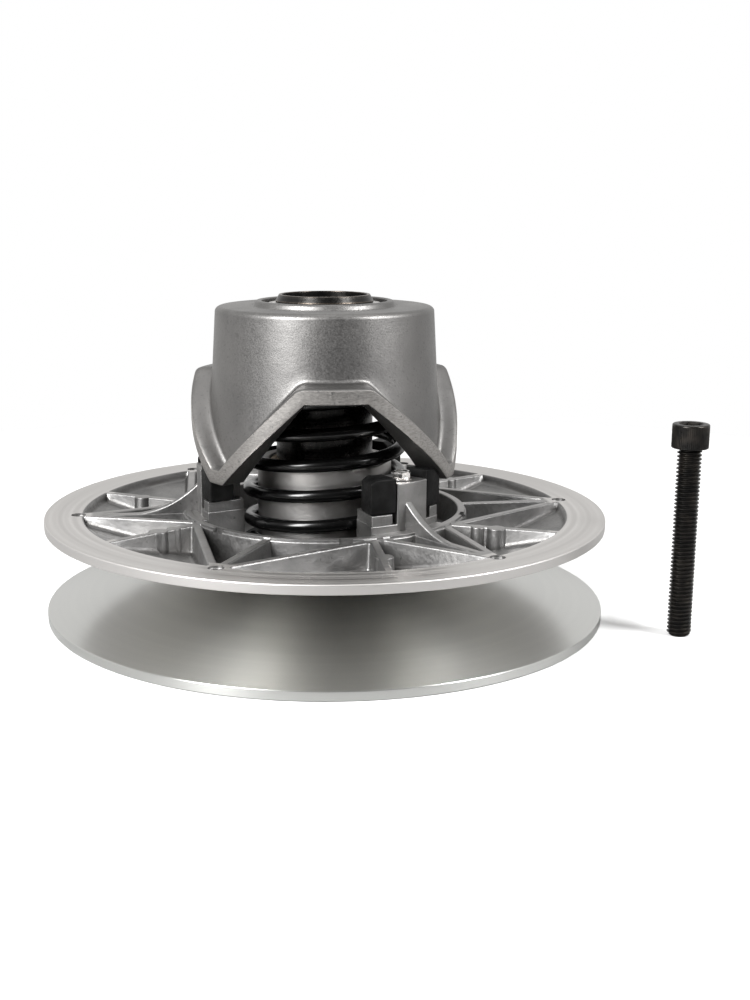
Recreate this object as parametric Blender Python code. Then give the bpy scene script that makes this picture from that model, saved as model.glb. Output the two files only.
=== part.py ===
"""Driven (secondary) clutch of a belt-drive transmission, standing on its fixed sheave, with its clutch bolt.

Frame: metres, +Z up along the clutch's axis, z = 0 at the fixed sheave's rim. The clutch bolt stands at +X,
and the origin is the middle of the whole set. Angles called "turn" are in degrees about the clutch's axis,
counted from the front (-Y) towards +X.
"""

import math

import bmesh
import bpy
from mathutils import Matrix, Vector

MM = 0.001

# Sheaves
SHEAVE_RADIUS = 117.5 * MM
RIM_THICKNESS = 3.8 * MM
RIM_GAP = 34.8 * MM
BELT_HALF_ANGLE = 13.0
BELT_FACE_INNER = 46.0 * MM
WEB_THICKNESS = 4.0 * MM
POCKET_OUTER = 101.5 * MM
SHEAVE_SEGMENTS = 96

# Hub shaft
SHAFT_RADIUS = 20.2 * MM
SHAFT_BORE = 15.9 * MM
SHAFT_COUNTERBORE = 17.6 * MM
SHAFT_TOP = 132.6 * MM
SHAFT_BOTTOM = 1.0 * MM
FLANGE_RADIUS = 40.5 * MM
FLANGE_BOTTOM = 15.5 * MM
FLANGE_TOP = 21.8 * MM
RIVET_COUNT = 6
RIVET_CIRCLE = 32.0 * MM
RIVET_SHANK = 3.0 * MM
RIVET_HEAD = 5.0 * MM
RIVET_HEAD_FLAT = 3.2 * MM
RIVET_HEAD_HEIGHT = 2.6 * MM
BACK_RECESS = 8.5 * MM
BACK_RECESS_INNER = 25.5 * MM
BACK_RECESS_OUTER = 40.5 * MM
BACK_BOSS_BOTTOM = 2.0 * MM
BACK_LAND_INNER = 43.0 * MM
BACK_POCKET_INNER = 47.0 * MM
BACK_RIBS = 12
GROOVE_BOTTOM = 127.6 * MM
GROOVE_TOP = 129.3 * MM
GROOVE_RADIUS = 19.0 * MM
RING_OUTER = 24.2 * MM
COUNTERBORE_DEPTH = 22.0 * MM
SHAFT_CHAMFER_HEIGHT = 2.6 * MM
SHAFT_CHAMFER = 1.4 * MM
KEY_WIDTH = 5.0 * MM
KEY_HEIGHT = 3.4 * MM
KEY_LENGTH = 15.5 * MM

# Sliding sheave
WELL_RADIUS = 56.4 * MM
RING_RADIUS = 60.2 * MM
RING_RISE = 0.9 * MM
WELL_FLOOR = 27.5 * MM
SLEEVE_RADIUS = 28.2 * MM
SLEEVE_BORE = 23.0 * MM
SLEEVE_TOP = 64.2 * MM
RIB_WIDTH = 3.4 * MM
RIB_MEETING = 97.0 * MM
SPOT_CIRCLE = 103.4 * MM
SPOT_RADIUS = 3.05 * MM
SPOT_DEPTH = 1.2 * MM
FLOOR_EDGE = 44.0 * MM
BUSHING_LENGTH = 12.5 * MM

# Cam dome
DOME_TOP = 128.2 * MM
DOME_TOP_RADIUS = 45.1 * MM
DOME_FOOT = 59.7 * MM
DOME_FOOT_RADIUS = 49.2 * MM
DOME_WALL = 4.7 * MM
ROOF_UNDERSIDE = 119.5 * MM
WINDOW_TOP = 94.5 * MM
RAIL_RADIUS = 55.7 * MM
RAIL_BAND = 4.4 * MM
RAIL_FILLET = 3.6 * MM
LIP_RADIUS = 29.0 * MM
LIP_TOP = 130.2 * MM
RECESS_RADIUS = 26.0 * MM
RECESS_FLOOR = 126.0 * MM
BOSS_RADIUS = 27.0 * MM
BOSS_BOTTOM = 108.0 * MM
SECTORS = 3
LEG_LEFT_FOOT = -47.0
WINDOW_LEFT = -8.0
WINDOW_RIGHT = 17.5
LEG_RIGHT_FOOT = 64.0
SECTOR = 360.0 / SECTORS

# Towers and slider shoes, in degrees from each tower's own turn
TOWER_TURN = 38.0
TOWER_INNER = 37.0 * MM
TOWER_OUTER = 54.0 * MM
POST_TOP = 62.2 * MM
PAD_TOP = 50.2 * MM
SLIT_BOTTOM = 46.0 * MM
POST_SPAN = (-5.8, 11.2)
LEFT_PAD_SPAN = (-18.0, -8.0)
RIGHT_PAD_SPAN = (14.2, 20.4)
FORWARD_SHOE_SPAN = (11.7, 22.6)
REVERSE_SHOE_SPAN = (-18.4, -6.2)
SHOE_INNER = 43.0 * MM
SHOE_OUTER = 53.6 * MM
FORWARD_SHOE_TOP = 65.5 * MM
REVERSE_SHOE_TOP = 64.4 * MM
SCREW_RADIAL = 48.0 * MM
SCREW_TURN = 1.5
SCREW_FLANGE = 4.3 * MM
SCREW_HEXAGON = 3.7 * MM
SCREW_SHANK = 1.9 * MM
SCREW_FOOT = 50.0 * MM
TOWER_BASE = 26.0 * MM
BRIDGE_BOTTOM = 31.0 * MM
GUSSET_TOP = 56.0 * MM
GUSSET_BOTTOM = 36.0 * MM
GUSSET_BOTTOM_RISE = 3.4 * MM
GUSSET_FOOT_RADIUS = 88.0 * MM

# Spring
SPRING_OUTER = 34.6 * MM
SPRING_WIRE = 5.4 * MM
SPRING_TURNS = 7.45
SPRING_START = -69.0
SEAT_THICKNESS = 1.5 * MM
SLIP_WASHER_OUTER = 35.5 * MM
UPPER_SEAT_OUTER = 36.0 * MM
THRUST_WASHER_OUTER = 25.5 * MM
THRUST_WASHER_THICKNESS = 1.2 * MM

# Clutch bolt, 3/8-16 UNC x 3 in socket head cap screw
BOLT_X = 142.5 * MM
BOLT_Y = -43.1 * MM
BOLT_LENGTH = 76.2 * MM
BOLT_RADIUS = 4.76 * MM
BOLT_HEAD_RADIUS = 7.15 * MM
BOLT_HEAD_HEIGHT = 9.5 * MM
BOLT_SOCKET = 7.94 * MM
BOLT_SOCKET_DEPTH = 4.8 * MM
BOLT_POINT = 0.9 * MM

GAP = 0.3 * MM
CONE_SLOPE = math.tan(math.radians(BELT_HALF_ANGLE))
UPPER_RIM = RIM_THICKNESS + RIM_GAP
TOP_PLANE = UPPER_RIM + RIM_THICKNESS


def axis_x():
    """The clutch axis, placed so that the origin is the middle of clutch and bolt together."""
    return (SHEAVE_RADIUS - BOLT_X - BOLT_HEAD_RADIUS) / 2


def lower_face(radius):
    """Height of the fixed sheave's belt face."""
    return RIM_THICKNESS + (SHEAVE_RADIUS - radius) * CONE_SLOPE


def upper_face(radius):
    """Height of the sliding sheave's belt face."""
    return UPPER_RIM - (SHEAVE_RADIUS - radius) * CONE_SLOPE


def point(radius, turn, height):
    angle = math.radians(turn)
    return Vector((radius * math.sin(angle), -radius * math.cos(angle), height))


def clear_scene():
    for obj in list(bpy.data.objects):
        bpy.data.objects.remove(obj)


def material(name, color, roughness, metallic):
    made = bpy.data.materials.new(name)
    made.use_nodes = True
    shader = made.node_tree.nodes["Principled BSDF"]
    shader.inputs["Base Color"].default_value = (*color, 1.0)
    shader.inputs["Roughness"].default_value = roughness
    shader.inputs["Metallic"].default_value = metallic
    return made


def finish(bm, name, parent, look, smooth=35.0):
    """Closes a bmesh into a named object under its parent empty, keeping its world place."""
    bmesh.ops.remove_doubles(bm, verts=bm.verts, dist=1e-7)
    bmesh.ops.recalc_face_normals(bm, faces=bm.faces)
    mesh = bpy.data.meshes.new(name)
    bm.to_mesh(mesh)
    bm.free()
    mesh.materials.append(look)
    mesh.shade_smooth()
    mesh.set_sharp_from_angle(angle=math.radians(smooth))
    obj = bpy.data.objects.new(name, mesh)
    bpy.context.scene.collection.objects.link(obj)
    obj.parent = parent
    return obj


def spun(profile, segments, centre=(0.0, 0.0)):
    """A closed outline of (radius, height) points turned about a vertical line through centre."""
    bm = bmesh.new()
    corners = [bm.verts.new((r, 0.0, z)) for r, z in profile]
    edges = [bm.edges.new((a, b)) for a, b in zip(corners, corners[1:] + corners[:1])]
    bmesh.ops.spin(
        bm,
        geom=corners + edges,
        cent=(0, 0, 0),
        axis=(0, 0, 1),
        angle=2 * math.pi,
        steps=segments,
        use_merge=True,
    )
    bmesh.ops.remove_doubles(bm, verts=bm.verts, dist=1e-7)
    loose = [edge for edge in bm.edges if not edge.link_faces]
    bmesh.ops.delete(bm, geom=loose, context="EDGES")
    bmesh.ops.translate(bm, verts=bm.verts, vec=(centre[0], centre[1], 0.0))
    return bm


def turned(name, profile, parent, look, segments=64, centre=(0.0, 0.0)):
    return finish(spun(profile, segments, centre), name, parent, look)


def polar_block(inner, outer, first, last, low, high, steps):
    """A block between two radii and two turns. Its floor and top are heights, or functions of the turn."""

    def height(value, turn):
        return value(turn) if callable(value) else value

    bm = bmesh.new()
    rows = []
    for i in range(steps + 1):
        turn = first + (last - first) * i / steps
        z0 = height(low, turn)
        z1 = height(high, turn)
        corners = ((inner, z0), (outer, z0), (outer, z1), (inner, z1))
        rows.append([bm.verts.new(point(r, turn, z)) for r, z in corners])
    for a, b in zip(rows, rows[1:]):
        for j in range(4):
            k = (j + 1) % 4
            bm.faces.new((a[j], a[k], b[k], b[j]))
    bm.faces.new(rows[0][::-1])
    bm.faces.new(rows[-1])
    return bm


def prism(outline, floor, top):
    """A prism over an outline of (x, y) points. Its floor height is a function of the radius."""
    bm = bmesh.new()
    low = [bm.verts.new((x, y, floor(math.hypot(x, y)))) for x, y in outline]
    high = [bm.verts.new((x, y, top)) for x, y in outline]
    count = len(outline)
    for i in range(count):
        j = (i + 1) % count
        bm.faces.new((low[i], low[j], high[j], high[i]))
    bmesh.ops.triangulate(bm, faces=[bm.faces.new(low[::-1])])
    bm.faces.new(high)
    return bm


def merged(shapes):
    """Several bmeshes as one, each left where it is."""
    whole = bmesh.new()
    for shape in shapes:
        mesh = bpy.data.meshes.new("scratch")
        shape.to_mesh(mesh)
        shape.free()
        whole.from_mesh(mesh)
        bpy.data.meshes.remove(mesh)
    return whole


def helper(bm, name):
    """A cutter or a shape to be joined. It isn't part of the object."""
    bmesh.ops.recalc_face_normals(bm, faces=bm.faces)
    mesh = bpy.data.meshes.new(name)
    bm.to_mesh(mesh)
    bm.free()
    obj = bpy.data.objects.new(name, mesh)
    bpy.context.scene.collection.objects.link(obj)
    obj.hide_render = True
    obj.display_type = "WIRE"
    return obj


def combine(obj, operation, bm, name):
    """Adds an exact Boolean of obj with a helper made from bm."""
    other = helper(bm, name)
    other.parent = obj.parent
    change = obj.modifiers.new(name, "BOOLEAN")
    change.operation = operation
    change.solver = "EXACT"
    change.object = other


# ---- outlines of the pockets between ribs ----------------------------------------------------------------


def clipped(outline, start, end, margin):
    """The part of an outline right of the line from start to end, kept margin away from it."""
    direction = (end - start).normalized()
    normal = Vector((direction.y, -direction.x))
    kept = []
    for a, b in zip(outline, outline[1:] + outline[:1]):
        da = (a - start).dot(normal) - margin
        db = (b - start).dot(normal) - margin
        if da >= 0:
            kept.append(a)
        if da * db < 0:
            kept.append(a.lerp(b, da / (da - db)))
    return kept


def arc_sector(inner, outer, first, last, step=5.0):
    """An annular sector's outline, anticlockwise seen from above."""
    count = max(1, round((last - first) / step))
    turns = [first + (last - first) * i / count for i in range(count + 1)]
    outside = [point(outer, t, 0).xy for t in turns]
    inside = [point(inner, t, 0).xy for t in reversed(turns)]
    return outside + inside


def divided(outline, longest=9.0 * MM):
    """The outline with its long sides divided, so that a floor can follow the cone."""
    points = []
    for a, b in zip(outline, outline[1:] + outline[:1]):
        pieces = max(1, math.ceil((b - a).length / longest / 1.6))
        points += [a.lerp(b, i / pieces) for i in range(pieces)]
    return points


def rib_pockets():
    """The eight pockets of each third of the sliding sheave, as outlines between its ribs."""
    half = RIB_WIDTH / 2
    inner = RING_RADIUS
    spot = RIB_MEETING
    outlines = []
    for sector in range(SECTORS):
        tower = TOWER_TURN + SECTOR * sector
        before = tower - SECTOR / 2
        after = tower + SECTOR / 2

        def rib(turn_in, turn_out, radius_out, radius_in=inner):
            return point(radius_in, turn_in, 0).xy, point(radius_out, turn_out, 0).xy

        gusset = rib(tower, tower, spot)
        left_diagonal = rib(tower - 14, tower - 1.5, spot)
        right_diagonal = rib(tower + 17, tower + 1.5, spot)
        left_spoke = rib(tower - 19.5, tower - 25, POCKET_OUTER)
        right_spoke = rib(tower + 22, tower + 27, POCKET_OUTER)
        before_radial = rib(before, before, spot)
        before_right = rib(tower - 21, before + 3, spot)
        after_left = rib(tower + 23, after - 3, spot)
        after_radial = rib(after, after, spot)

        def pocket(first, last, *sides, outer=POCKET_OUTER):
            outline = arc_sector(inner, outer, first, last)
            for start, end in sides:
                outline = clipped(outline, start, end, half)
            outlines.append(divided(outline))

        def flipped(side):
            return side[1], side[0]

        pocket(tower - 20, tower, gusset, flipped(left_diagonal), outer=spot)
        pocket(tower, tower + 22, right_diagonal, flipped(gusset), outer=spot)
        pocket(tower - 32, tower, left_diagonal, flipped(left_spoke))
        pocket(tower, tower + 34, right_spoke, flipped(right_diagonal))
        pocket(before, tower - 18, left_spoke, flipped(before_right))
        pocket(tower + 20, after, after_left, flipped(right_spoke))
        pocket(before - 2, tower - 16, before_right, flipped(before_radial), outer=spot)
        pocket(tower + 18, after + 2, after_radial, flipped(after_left), outer=spot)
    return outlines


# ---- the cam dome ----------------------------------------------------------------------------------------


def window_edge(turn):
    """Height of the dome's lower edge: three V windows between three legs."""
    local = (turn - LEG_LEFT_FOOT) % SECTOR + LEG_LEFT_FOOT
    rise = WINDOW_TOP - DOME_FOOT
    if local < WINDOW_LEFT:
        return DOME_FOOT + rise * (local - LEG_LEFT_FOOT) / (WINDOW_LEFT - LEG_LEFT_FOOT)
    if local < WINDOW_RIGHT:
        return WINDOW_TOP
    if local < LEG_RIGHT_FOOT:
        return WINDOW_TOP - rise * (local - WINDOW_RIGHT) / (LEG_RIGHT_FOOT - WINDOW_RIGHT)
    return DOME_FOOT


def parallel_edge(turn, distance):
    """Height of the curve that runs a distance above the window edge, measured square to it."""
    best = 0.0
    for i in range(-12, 13):
        along = distance * i / 12
        other = turn + math.degrees(along / RAIL_RADIUS)
        best = max(best, window_edge(other) + math.sqrt(distance**2 - along**2))
    return best


def dome_radius(height):
    share = (height - DOME_FOOT) / (DOME_TOP - DOME_FOOT)
    return DOME_FOOT_RADIUS + (DOME_TOP_RADIUS - DOME_FOOT_RADIUS) * share


def dome_section(turn):
    """The dome's closed (radius, height) outline at one turn. Each has the same number of points."""
    foot = window_edge(turn)
    band = parallel_edge(turn, RAIL_BAND)
    blend = parallel_edge(turn, RAIL_BAND + RAIL_FILLET)
    shoulder = DOME_TOP - 3.6 * MM
    return [
        (RAIL_RADIUS, foot),
        (RAIL_RADIUS, band),
        (dome_radius(blend), blend),
        (dome_radius(blend * 0.4 + shoulder * 0.6), blend * 0.4 + shoulder * 0.6),
        (dome_radius(shoulder), shoulder),
        (dome_radius(DOME_TOP) - 1.2 * MM, DOME_TOP - 1.1 * MM),
        (dome_radius(DOME_TOP) - 4.0 * MM, DOME_TOP),
        (LIP_RADIUS + 0.6 * MM, DOME_TOP),
        (LIP_RADIUS - 0.8 * MM, LIP_TOP),
        (RECESS_RADIUS, LIP_TOP),
        (RECESS_RADIUS, RECESS_FLOOR),
        (SHAFT_RADIUS + GAP, RECESS_FLOOR),
        (SHAFT_RADIUS + GAP, BOSS_BOTTOM),
        (BOSS_RADIUS, BOSS_BOTTOM),
        (BOSS_RADIUS, ROOF_UNDERSIDE),
        (dome_radius(ROOF_UNDERSIDE) - DOME_WALL - 3 * MM, ROOF_UNDERSIDE),
        (dome_radius(ROOF_UNDERSIDE) - DOME_WALL, ROOF_UNDERSIDE - 3 * MM),
        (dome_radius(foot) - DOME_WALL, foot),
    ]


def dome_turns():
    """The turns at which the dome is cut into sections: every corner of a window, and steps between."""
    corners = (LEG_LEFT_FOOT, WINDOW_LEFT, WINDOW_RIGHT, LEG_RIGHT_FOOT, LEG_LEFT_FOOT + SECTOR)
    counts = (6, 4, 7, 2)
    turns = []
    for sector in range(SECTORS):
        for first, last, count in zip(corners, corners[1:], counts):
            turns += [first + SECTOR * sector + (last - first) * i / count for i in range(count)]
    return turns


def cam_dome(parent, look):
    bm = bmesh.new()
    sections = [[bm.verts.new(point(r, t, z)) for r, z in dome_section(t)] for t in dome_turns()]
    for a, b in zip(sections, sections[1:] + sections[:1]):
        for j in range(len(a)):
            k = (j + 1) % len(a)
            bm.faces.new((a[j], a[k], b[k], b[j]))
    bmesh.ops.triangulate(bm, faces=bm.faces)
    dome = finish(bm, "cam_dome", parent, look)
    combine(dome, "DIFFERENCE", key_block(GAP), "keyway_in_dome")
    return dome


def key_block(margin):
    """The drive key's block, at the back of the shaft, grown by a margin."""
    bm = bmesh.new()
    bmesh.ops.create_cube(bm, size=1.0)
    size = (KEY_WIDTH + 2 * margin, KEY_HEIGHT + 2 * margin, KEY_LENGTH + 2 * margin)
    bmesh.ops.scale(bm, vec=size, verts=bm.verts)
    bmesh.ops.translate(bm, vec=(0.0, SHAFT_RADIUS, (RECESS_FLOOR + BOSS_BOTTOM) / 2), verts=bm.verts)
    return bm


# ---- the pieces fixed to the shaft -----------------------------------------------------------------------


def fixed_sheave(parent, look):
    """Belt face on top, and a ribbed back that ends in the plane that the clutch stands on."""
    flat = FLANGE_BOTTOM - GAP
    recess = FLANGE_RADIUS + GAP
    profile = [
        (SHEAVE_RADIUS, 0.0),
        (SHEAVE_RADIUS, RIM_THICKNESS),
        (BELT_FACE_INNER, lower_face(BELT_FACE_INNER)),
        (recess, lower_face(BELT_FACE_INNER)),
        (recess, flat),
        (SHAFT_RADIUS + GAP, flat),
        (SHAFT_RADIUS + GAP, BACK_BOSS_BOTTOM),
        (BACK_RECESS_INNER, BACK_BOSS_BOTTOM),
        (BACK_RECESS_INNER, BACK_RECESS),
        (BACK_RECESS_OUTER, BACK_RECESS),
        (BACK_LAND_INNER, 0.0),
    ]
    sheave = turned("fixed_sheave", profile, parent, look, SHEAVE_SEGMENTS)
    pockets = []
    centre = Vector((0.0, 0.0))
    for i in range(BACK_RIBS):
        first = 360.0 / BACK_RIBS * i
        last = 360.0 / BACK_RIBS * (i + 1)
        outline = arc_sector(BACK_POCKET_INNER, POCKET_OUTER, first, last, 7.5)
        outline = clipped(outline, point(1.0, first, 0).xy, centre, RIB_WIDTH / 2)
        outline = clipped(outline, centre, point(1.0, last, 0).xy, RIB_WIDTH / 2)
        pockets.append(back_pocket(outline))
    combine(sheave, "DIFFERENCE", merged(pockets), "back_pockets")
    holes = [rivet_hole(i, 0.0, flat + 5 * MM) for i in range(RIVET_COUNT)]
    combine(sheave, "DIFFERENCE", merged(holes), "rivet_holes_in_sheave")
    return sheave


def back_pocket(outline):
    """A pocket that opens downwards, with its roof one web thickness under the belt face."""
    bm = prism(outline, lambda radius: lower_face(radius) - WEB_THICKNESS, -5.0 * MM)
    bmesh.ops.recalc_face_normals(bm, faces=bm.faces)
    return bm


def rivet_centre(index):
    turn = 360.0 / RIVET_COUNT * (index + 0.5)
    return point(RIVET_CIRCLE, turn, 0)


def rivet_hole(index, low, high):
    centre = rivet_centre(index)
    radius = RIVET_SHANK + GAP
    profile = [(0.0, high), (radius, high), (radius, low), (0.0, low)]
    return spun(profile, 12, (centre.x, centre.y))


def hub_shaft(parent, look):
    profile = [
        (SHAFT_BORE, SHAFT_BOTTOM),
        (SHAFT_RADIUS - 1 * MM, SHAFT_BOTTOM),
        (SHAFT_RADIUS, SHAFT_BOTTOM + 1 * MM),
        (SHAFT_RADIUS, FLANGE_BOTTOM),
        (FLANGE_RADIUS, FLANGE_BOTTOM),
        (FLANGE_RADIUS, FLANGE_TOP),
        (SHAFT_RADIUS, FLANGE_TOP),
        (SHAFT_RADIUS, GROOVE_BOTTOM),
        (GROOVE_RADIUS, GROOVE_BOTTOM),
        (GROOVE_RADIUS, GROOVE_TOP),
        (SHAFT_RADIUS, GROOVE_TOP),
        (SHAFT_RADIUS, SHAFT_TOP - SHAFT_CHAMFER_HEIGHT),
        (SHAFT_RADIUS - SHAFT_CHAMFER, SHAFT_TOP),
        (SHAFT_COUNTERBORE, SHAFT_TOP),
        (SHAFT_COUNTERBORE, SHAFT_TOP - COUNTERBORE_DEPTH),
        (SHAFT_BORE, SHAFT_TOP - COUNTERBORE_DEPTH),
    ]
    shaft = turned("hub_shaft", profile, parent, look, 48)
    holes = [rivet_hole(i, FLANGE_BOTTOM - 5 * MM, FLANGE_TOP + 5 * MM) for i in range(RIVET_COUNT)]
    combine(shaft, "DIFFERENCE", merged(holes + [key_block(GAP)]), "holes_in_shaft")
    return shaft


def hub_rivets(parent, look):
    """Solid rivets that hold the shaft's flange to the fixed sheave."""
    head_top = BACK_RECESS - GAP
    for i in range(RIVET_COUNT):
        centre = rivet_centre(i)
        profile = [
            (0.0, head_top - RIVET_HEAD_HEIGHT),
            (RIVET_HEAD_FLAT, head_top - RIVET_HEAD_HEIGHT),
            (RIVET_HEAD, head_top - 1.0 * MM),
            (RIVET_HEAD, head_top),
            (RIVET_SHANK, head_top),
            (RIVET_SHANK, FLANGE_TOP - GAP),
            (0.0, FLANGE_TOP - GAP),
        ]
        turned(f"hub_rivet_{i + 1}", profile, parent, look, 12, (centre.x, centre.y))


def drive_key(parent, look):
    return finish(key_block(0.0), "drive_key", parent, look)


def washer(name, parent, look, inner, outer, low, thickness, segments=48):
    high = low + thickness
    profile = [(inner, low), (outer, low), (outer, high), (inner, high)]
    return turned(name, profile, parent, look, segments)


def retaining_ring(parent, look):
    """An open ring in the shaft's groove, with its gap at the back."""
    ring = polar_block(
        GROOVE_RADIUS + GAP,
        RING_OUTER,
        186.0,
        534.0,
        GROOVE_BOTTOM + 0.2 * MM,
        GROOVE_TOP - 0.2 * MM,
        42,
    )
    return finish(ring, "retaining_ring", parent, look)


def spring_height(turns, low, high):
    """Height of the wire's centre. It leaves each seat slowly over the first part of a turn."""
    flat = 0.75
    climb = SPRING_WIRE + 0.2 * MM
    left = SPRING_TURNS - turns
    if turns < flat:
        return low + climb * turns * turns / flat
    if left < flat:
        return high - climb * left * left / flat
    middle = high - low - 2 * flat * climb
    return low + climb * flat + middle * (turns - flat) / (SPRING_TURNS - 2 * flat)


def spring(parent, look, low, high):
    """A right-handed compression spring. Its ends are closed against both seats."""
    per_turn = 18
    curve = bpy.data.curves.new("spring", "CURVE")
    curve.dimensions = "3D"
    curve.bevel_depth = SPRING_WIRE / 2
    curve.bevel_resolution = 2
    curve.use_fill_caps = True
    count = round(SPRING_TURNS * per_turn)
    line = curve.splines.new("POLY")
    line.points.add(count)
    radius = SPRING_OUTER - SPRING_WIRE / 2
    for i in range(count + 1):
        turns = SPRING_TURNS * i / count
        height = spring_height(turns, low, high)
        line.points[i].co = (*point(radius, SPRING_START + 360.0 * turns, height), 1.0)
    curve.materials.append(look)
    obj = bpy.data.objects.new("spring", curve)
    bpy.context.scene.collection.objects.link(obj)
    obj.parent = parent
    return obj


# ---- the pieces that slide -------------------------------------------------------------------------------


def sliding_sheave(parent, look):
    bottom = upper_face(BELT_FACE_INNER)
    profile = [
        (SHEAVE_RADIUS, UPPER_RIM),
        (SHEAVE_RADIUS, TOP_PLANE),
        (RING_RADIUS, TOP_PLANE),
        (RING_RADIUS - 0.6 * MM, TOP_PLANE + RING_RISE),
        (WELL_RADIUS, TOP_PLANE + RING_RISE),
        (WELL_RADIUS, upper_face(WELL_RADIUS) + WEB_THICKNESS + 1 * MM),
        (FLOOR_EDGE, WELL_FLOOR),
        (SLEEVE_RADIUS, WELL_FLOOR),
        (SLEEVE_RADIUS, SLEEVE_TOP),
        (SLEEVE_BORE, SLEEVE_TOP),
        (SLEEVE_BORE, bottom),
        (BELT_FACE_INNER, bottom),
    ]
    sheave = turned("sliding_sheave", profile, parent, look, SHEAVE_SEGMENTS)
    floor = [
        prism(outline, lambda radius: upper_face(radius) + WEB_THICKNESS, TOP_PLANE + 5 * MM)
        for outline in rib_pockets()
    ]
    combine(sheave, "DIFFERENCE", merged(floor), "rib_pockets")
    for sector in range(SECTORS):
        for label, shape in tower_shapes(TOWER_TURN + SECTOR * sector):
            combine(sheave, "UNION", shape, f"{label}_{sector + 1}")
    combine(sheave, "DIFFERENCE", merged(sheave_holes()), "holes_in_sliding_sheave")
    return sheave


def tower_shapes(turn):
    """A post with a pad either side, and the curved gusset that braces it towards the rim."""
    base = TOWER_BASE
    post = polar_block(
        TOWER_INNER, TOWER_OUTER, turn + POST_SPAN[0], turn + POST_SPAN[1], base, POST_TOP, 3
    )
    plinth = polar_block(
        TOWER_INNER + 0.5 * MM,
        TOWER_OUTER - 0.2 * MM,
        turn + LEFT_PAD_SPAN[0],
        turn + RIGHT_PAD_SPAN[1],
        base + 0.5 * MM,
        SLIT_BOTTOM,
        5,
    )
    left = polar_block(
        TOWER_INNER + 0.7 * MM,
        TOWER_OUTER - 0.4 * MM,
        turn + LEFT_PAD_SPAN[0] + 0.2,
        turn + LEFT_PAD_SPAN[1],
        SLIT_BOTTOM - 2 * MM,
        PAD_TOP,
        2,
    )
    right = polar_block(
        TOWER_INNER + 0.7 * MM,
        TOWER_OUTER - 0.4 * MM,
        turn + RIGHT_PAD_SPAN[0],
        turn + RIGHT_PAD_SPAN[1] - 0.2,
        SLIT_BOTTOM - 2 * MM,
        PAD_TOP,
        2,
    )
    return (
        ("plinth", plinth),
        ("post", post),
        ("left_pad", left),
        ("right_pad", right),
        ("outer_bridge", bridge(turn)),
        ("gusset", gusset(turn)),
    )


def bridge(turn):
    """Material between the plinth and the inner ring."""
    return polar_block(
        TOWER_OUTER - 1.5 * MM,
        RING_RADIUS - 1.2 * MM,
        turn + LEFT_PAD_SPAN[0] + 0.5,
        turn + RIGHT_PAD_SPAN[1] - 0.5,
        BRIDGE_BOTTOM,
        TOP_PLANE + 0.6 * MM,
        5,
    )


def gusset(turn):
    """A rib with a hollow curved edge, from high on the post's outer face down to the rim."""
    start = TOWER_OUTER - 1.3 * MM
    half = point(RIB_WIDTH / 2 - 0.1 * MM, turn + 90, 0)
    steps = 7
    bm = bmesh.new()
    rows = []
    for i in range(steps + 1):
        share = i / steps
        radius = start + (GUSSET_FOOT_RADIUS - start) * share
        high = TOP_PLANE - 0.4 * MM + (GUSSET_TOP - TOP_PLANE) * (1 - share) ** 2.6
        low = GUSSET_BOTTOM + GUSSET_BOTTOM_RISE * share
        corners = ((-half, low), (half, low), (half, high), (-half, high))
        rows.append([bm.verts.new(point(radius, turn, z) + aside) for aside, z in corners])
    for a, b in zip(rows, rows[1:]):
        for j in range(4):
            k = (j + 1) % 4
            bm.faces.new((a[j], a[k], b[k], b[j]))
    bm.faces.new(rows[0][::-1])
    bm.faces.new(rows[-1])
    return bm


def screw_centre(sector):
    return point(SCREW_RADIAL, TOWER_TURN + SECTOR * sector + SCREW_TURN, 0)


def sheave_holes():
    """Blind screw holes in the posts, and six shallow balancing spots on the rim."""
    holes = []
    for sector in range(SECTORS):
        centre = screw_centre(sector)
        radius = SCREW_SHANK + GAP
        high = POST_TOP + 5 * MM
        low = SCREW_FOOT - 1 * MM
        profile = [(0.0, high), (radius, high), (radius, low), (0.0, low)]
        holes.append(spun(profile, 12, (centre.x, centre.y)))
    for i in range(6):
        centre = point(SPOT_CIRCLE, TOWER_TURN + 60 * i, 0)
        high = TOP_PLANE + 5 * MM
        low = TOP_PLANE - SPOT_DEPTH
        profile = [(0.0, high), (SPOT_RADIUS, high), (SPOT_RADIUS, low), (0.0, low)]
        holes.append(spun(profile, 12, (centre.x, centre.y)))
    return holes


def bushing(name, parent, look, low, high):
    inner = SHAFT_RADIUS + GAP
    outer = SLEEVE_BORE - GAP
    profile = [(inner, low), (outer, low), (outer, high), (inner, high)]
    return turned(name, profile, parent, look, 48)


def ramp_height(turn, sector):
    """Underside of the window's right slope, which the forward shoe of this sector bears on."""
    start = WINDOW_RIGHT + SECTOR * sector
    fall = (WINDOW_TOP - DOME_FOOT) / (LEG_RIGHT_FOOT - WINDOW_RIGHT)
    return WINDOW_TOP - fall * (turn - start)


def slider_shoes(parent, look):
    base = PAD_TOP + GAP
    for sector in range(SECTORS):
        tower = TOWER_TURN + SECTOR * sector

        def forward_top(turn, sector=sector):
            return min(FORWARD_SHOE_TOP, ramp_height(turn, sector) - 1.3 * GAP)

        forward = polar_block(
            SHOE_INNER,
            SHOE_OUTER,
            tower + FORWARD_SHOE_SPAN[0],
            tower + FORWARD_SHOE_SPAN[1],
            base,
            forward_top,
            4,
        )
        finish(forward, f"forward_shoe_{sector + 1}", parent, look)
        first = tower + REVERSE_SHOE_SPAN[0]

        def reverse_top(turn, first=first):
            return REVERSE_SHOE_TOP - 1.5 * MM * max(0.0, 1 - (turn - first) / 3)

        reverse = polar_block(
            SHOE_INNER, SHOE_OUTER, first, tower + REVERSE_SHOE_SPAN[1], base, reverse_top, 4
        )
        finish(reverse, f"reverse_shoe_{sector + 1}", parent, look)


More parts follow.
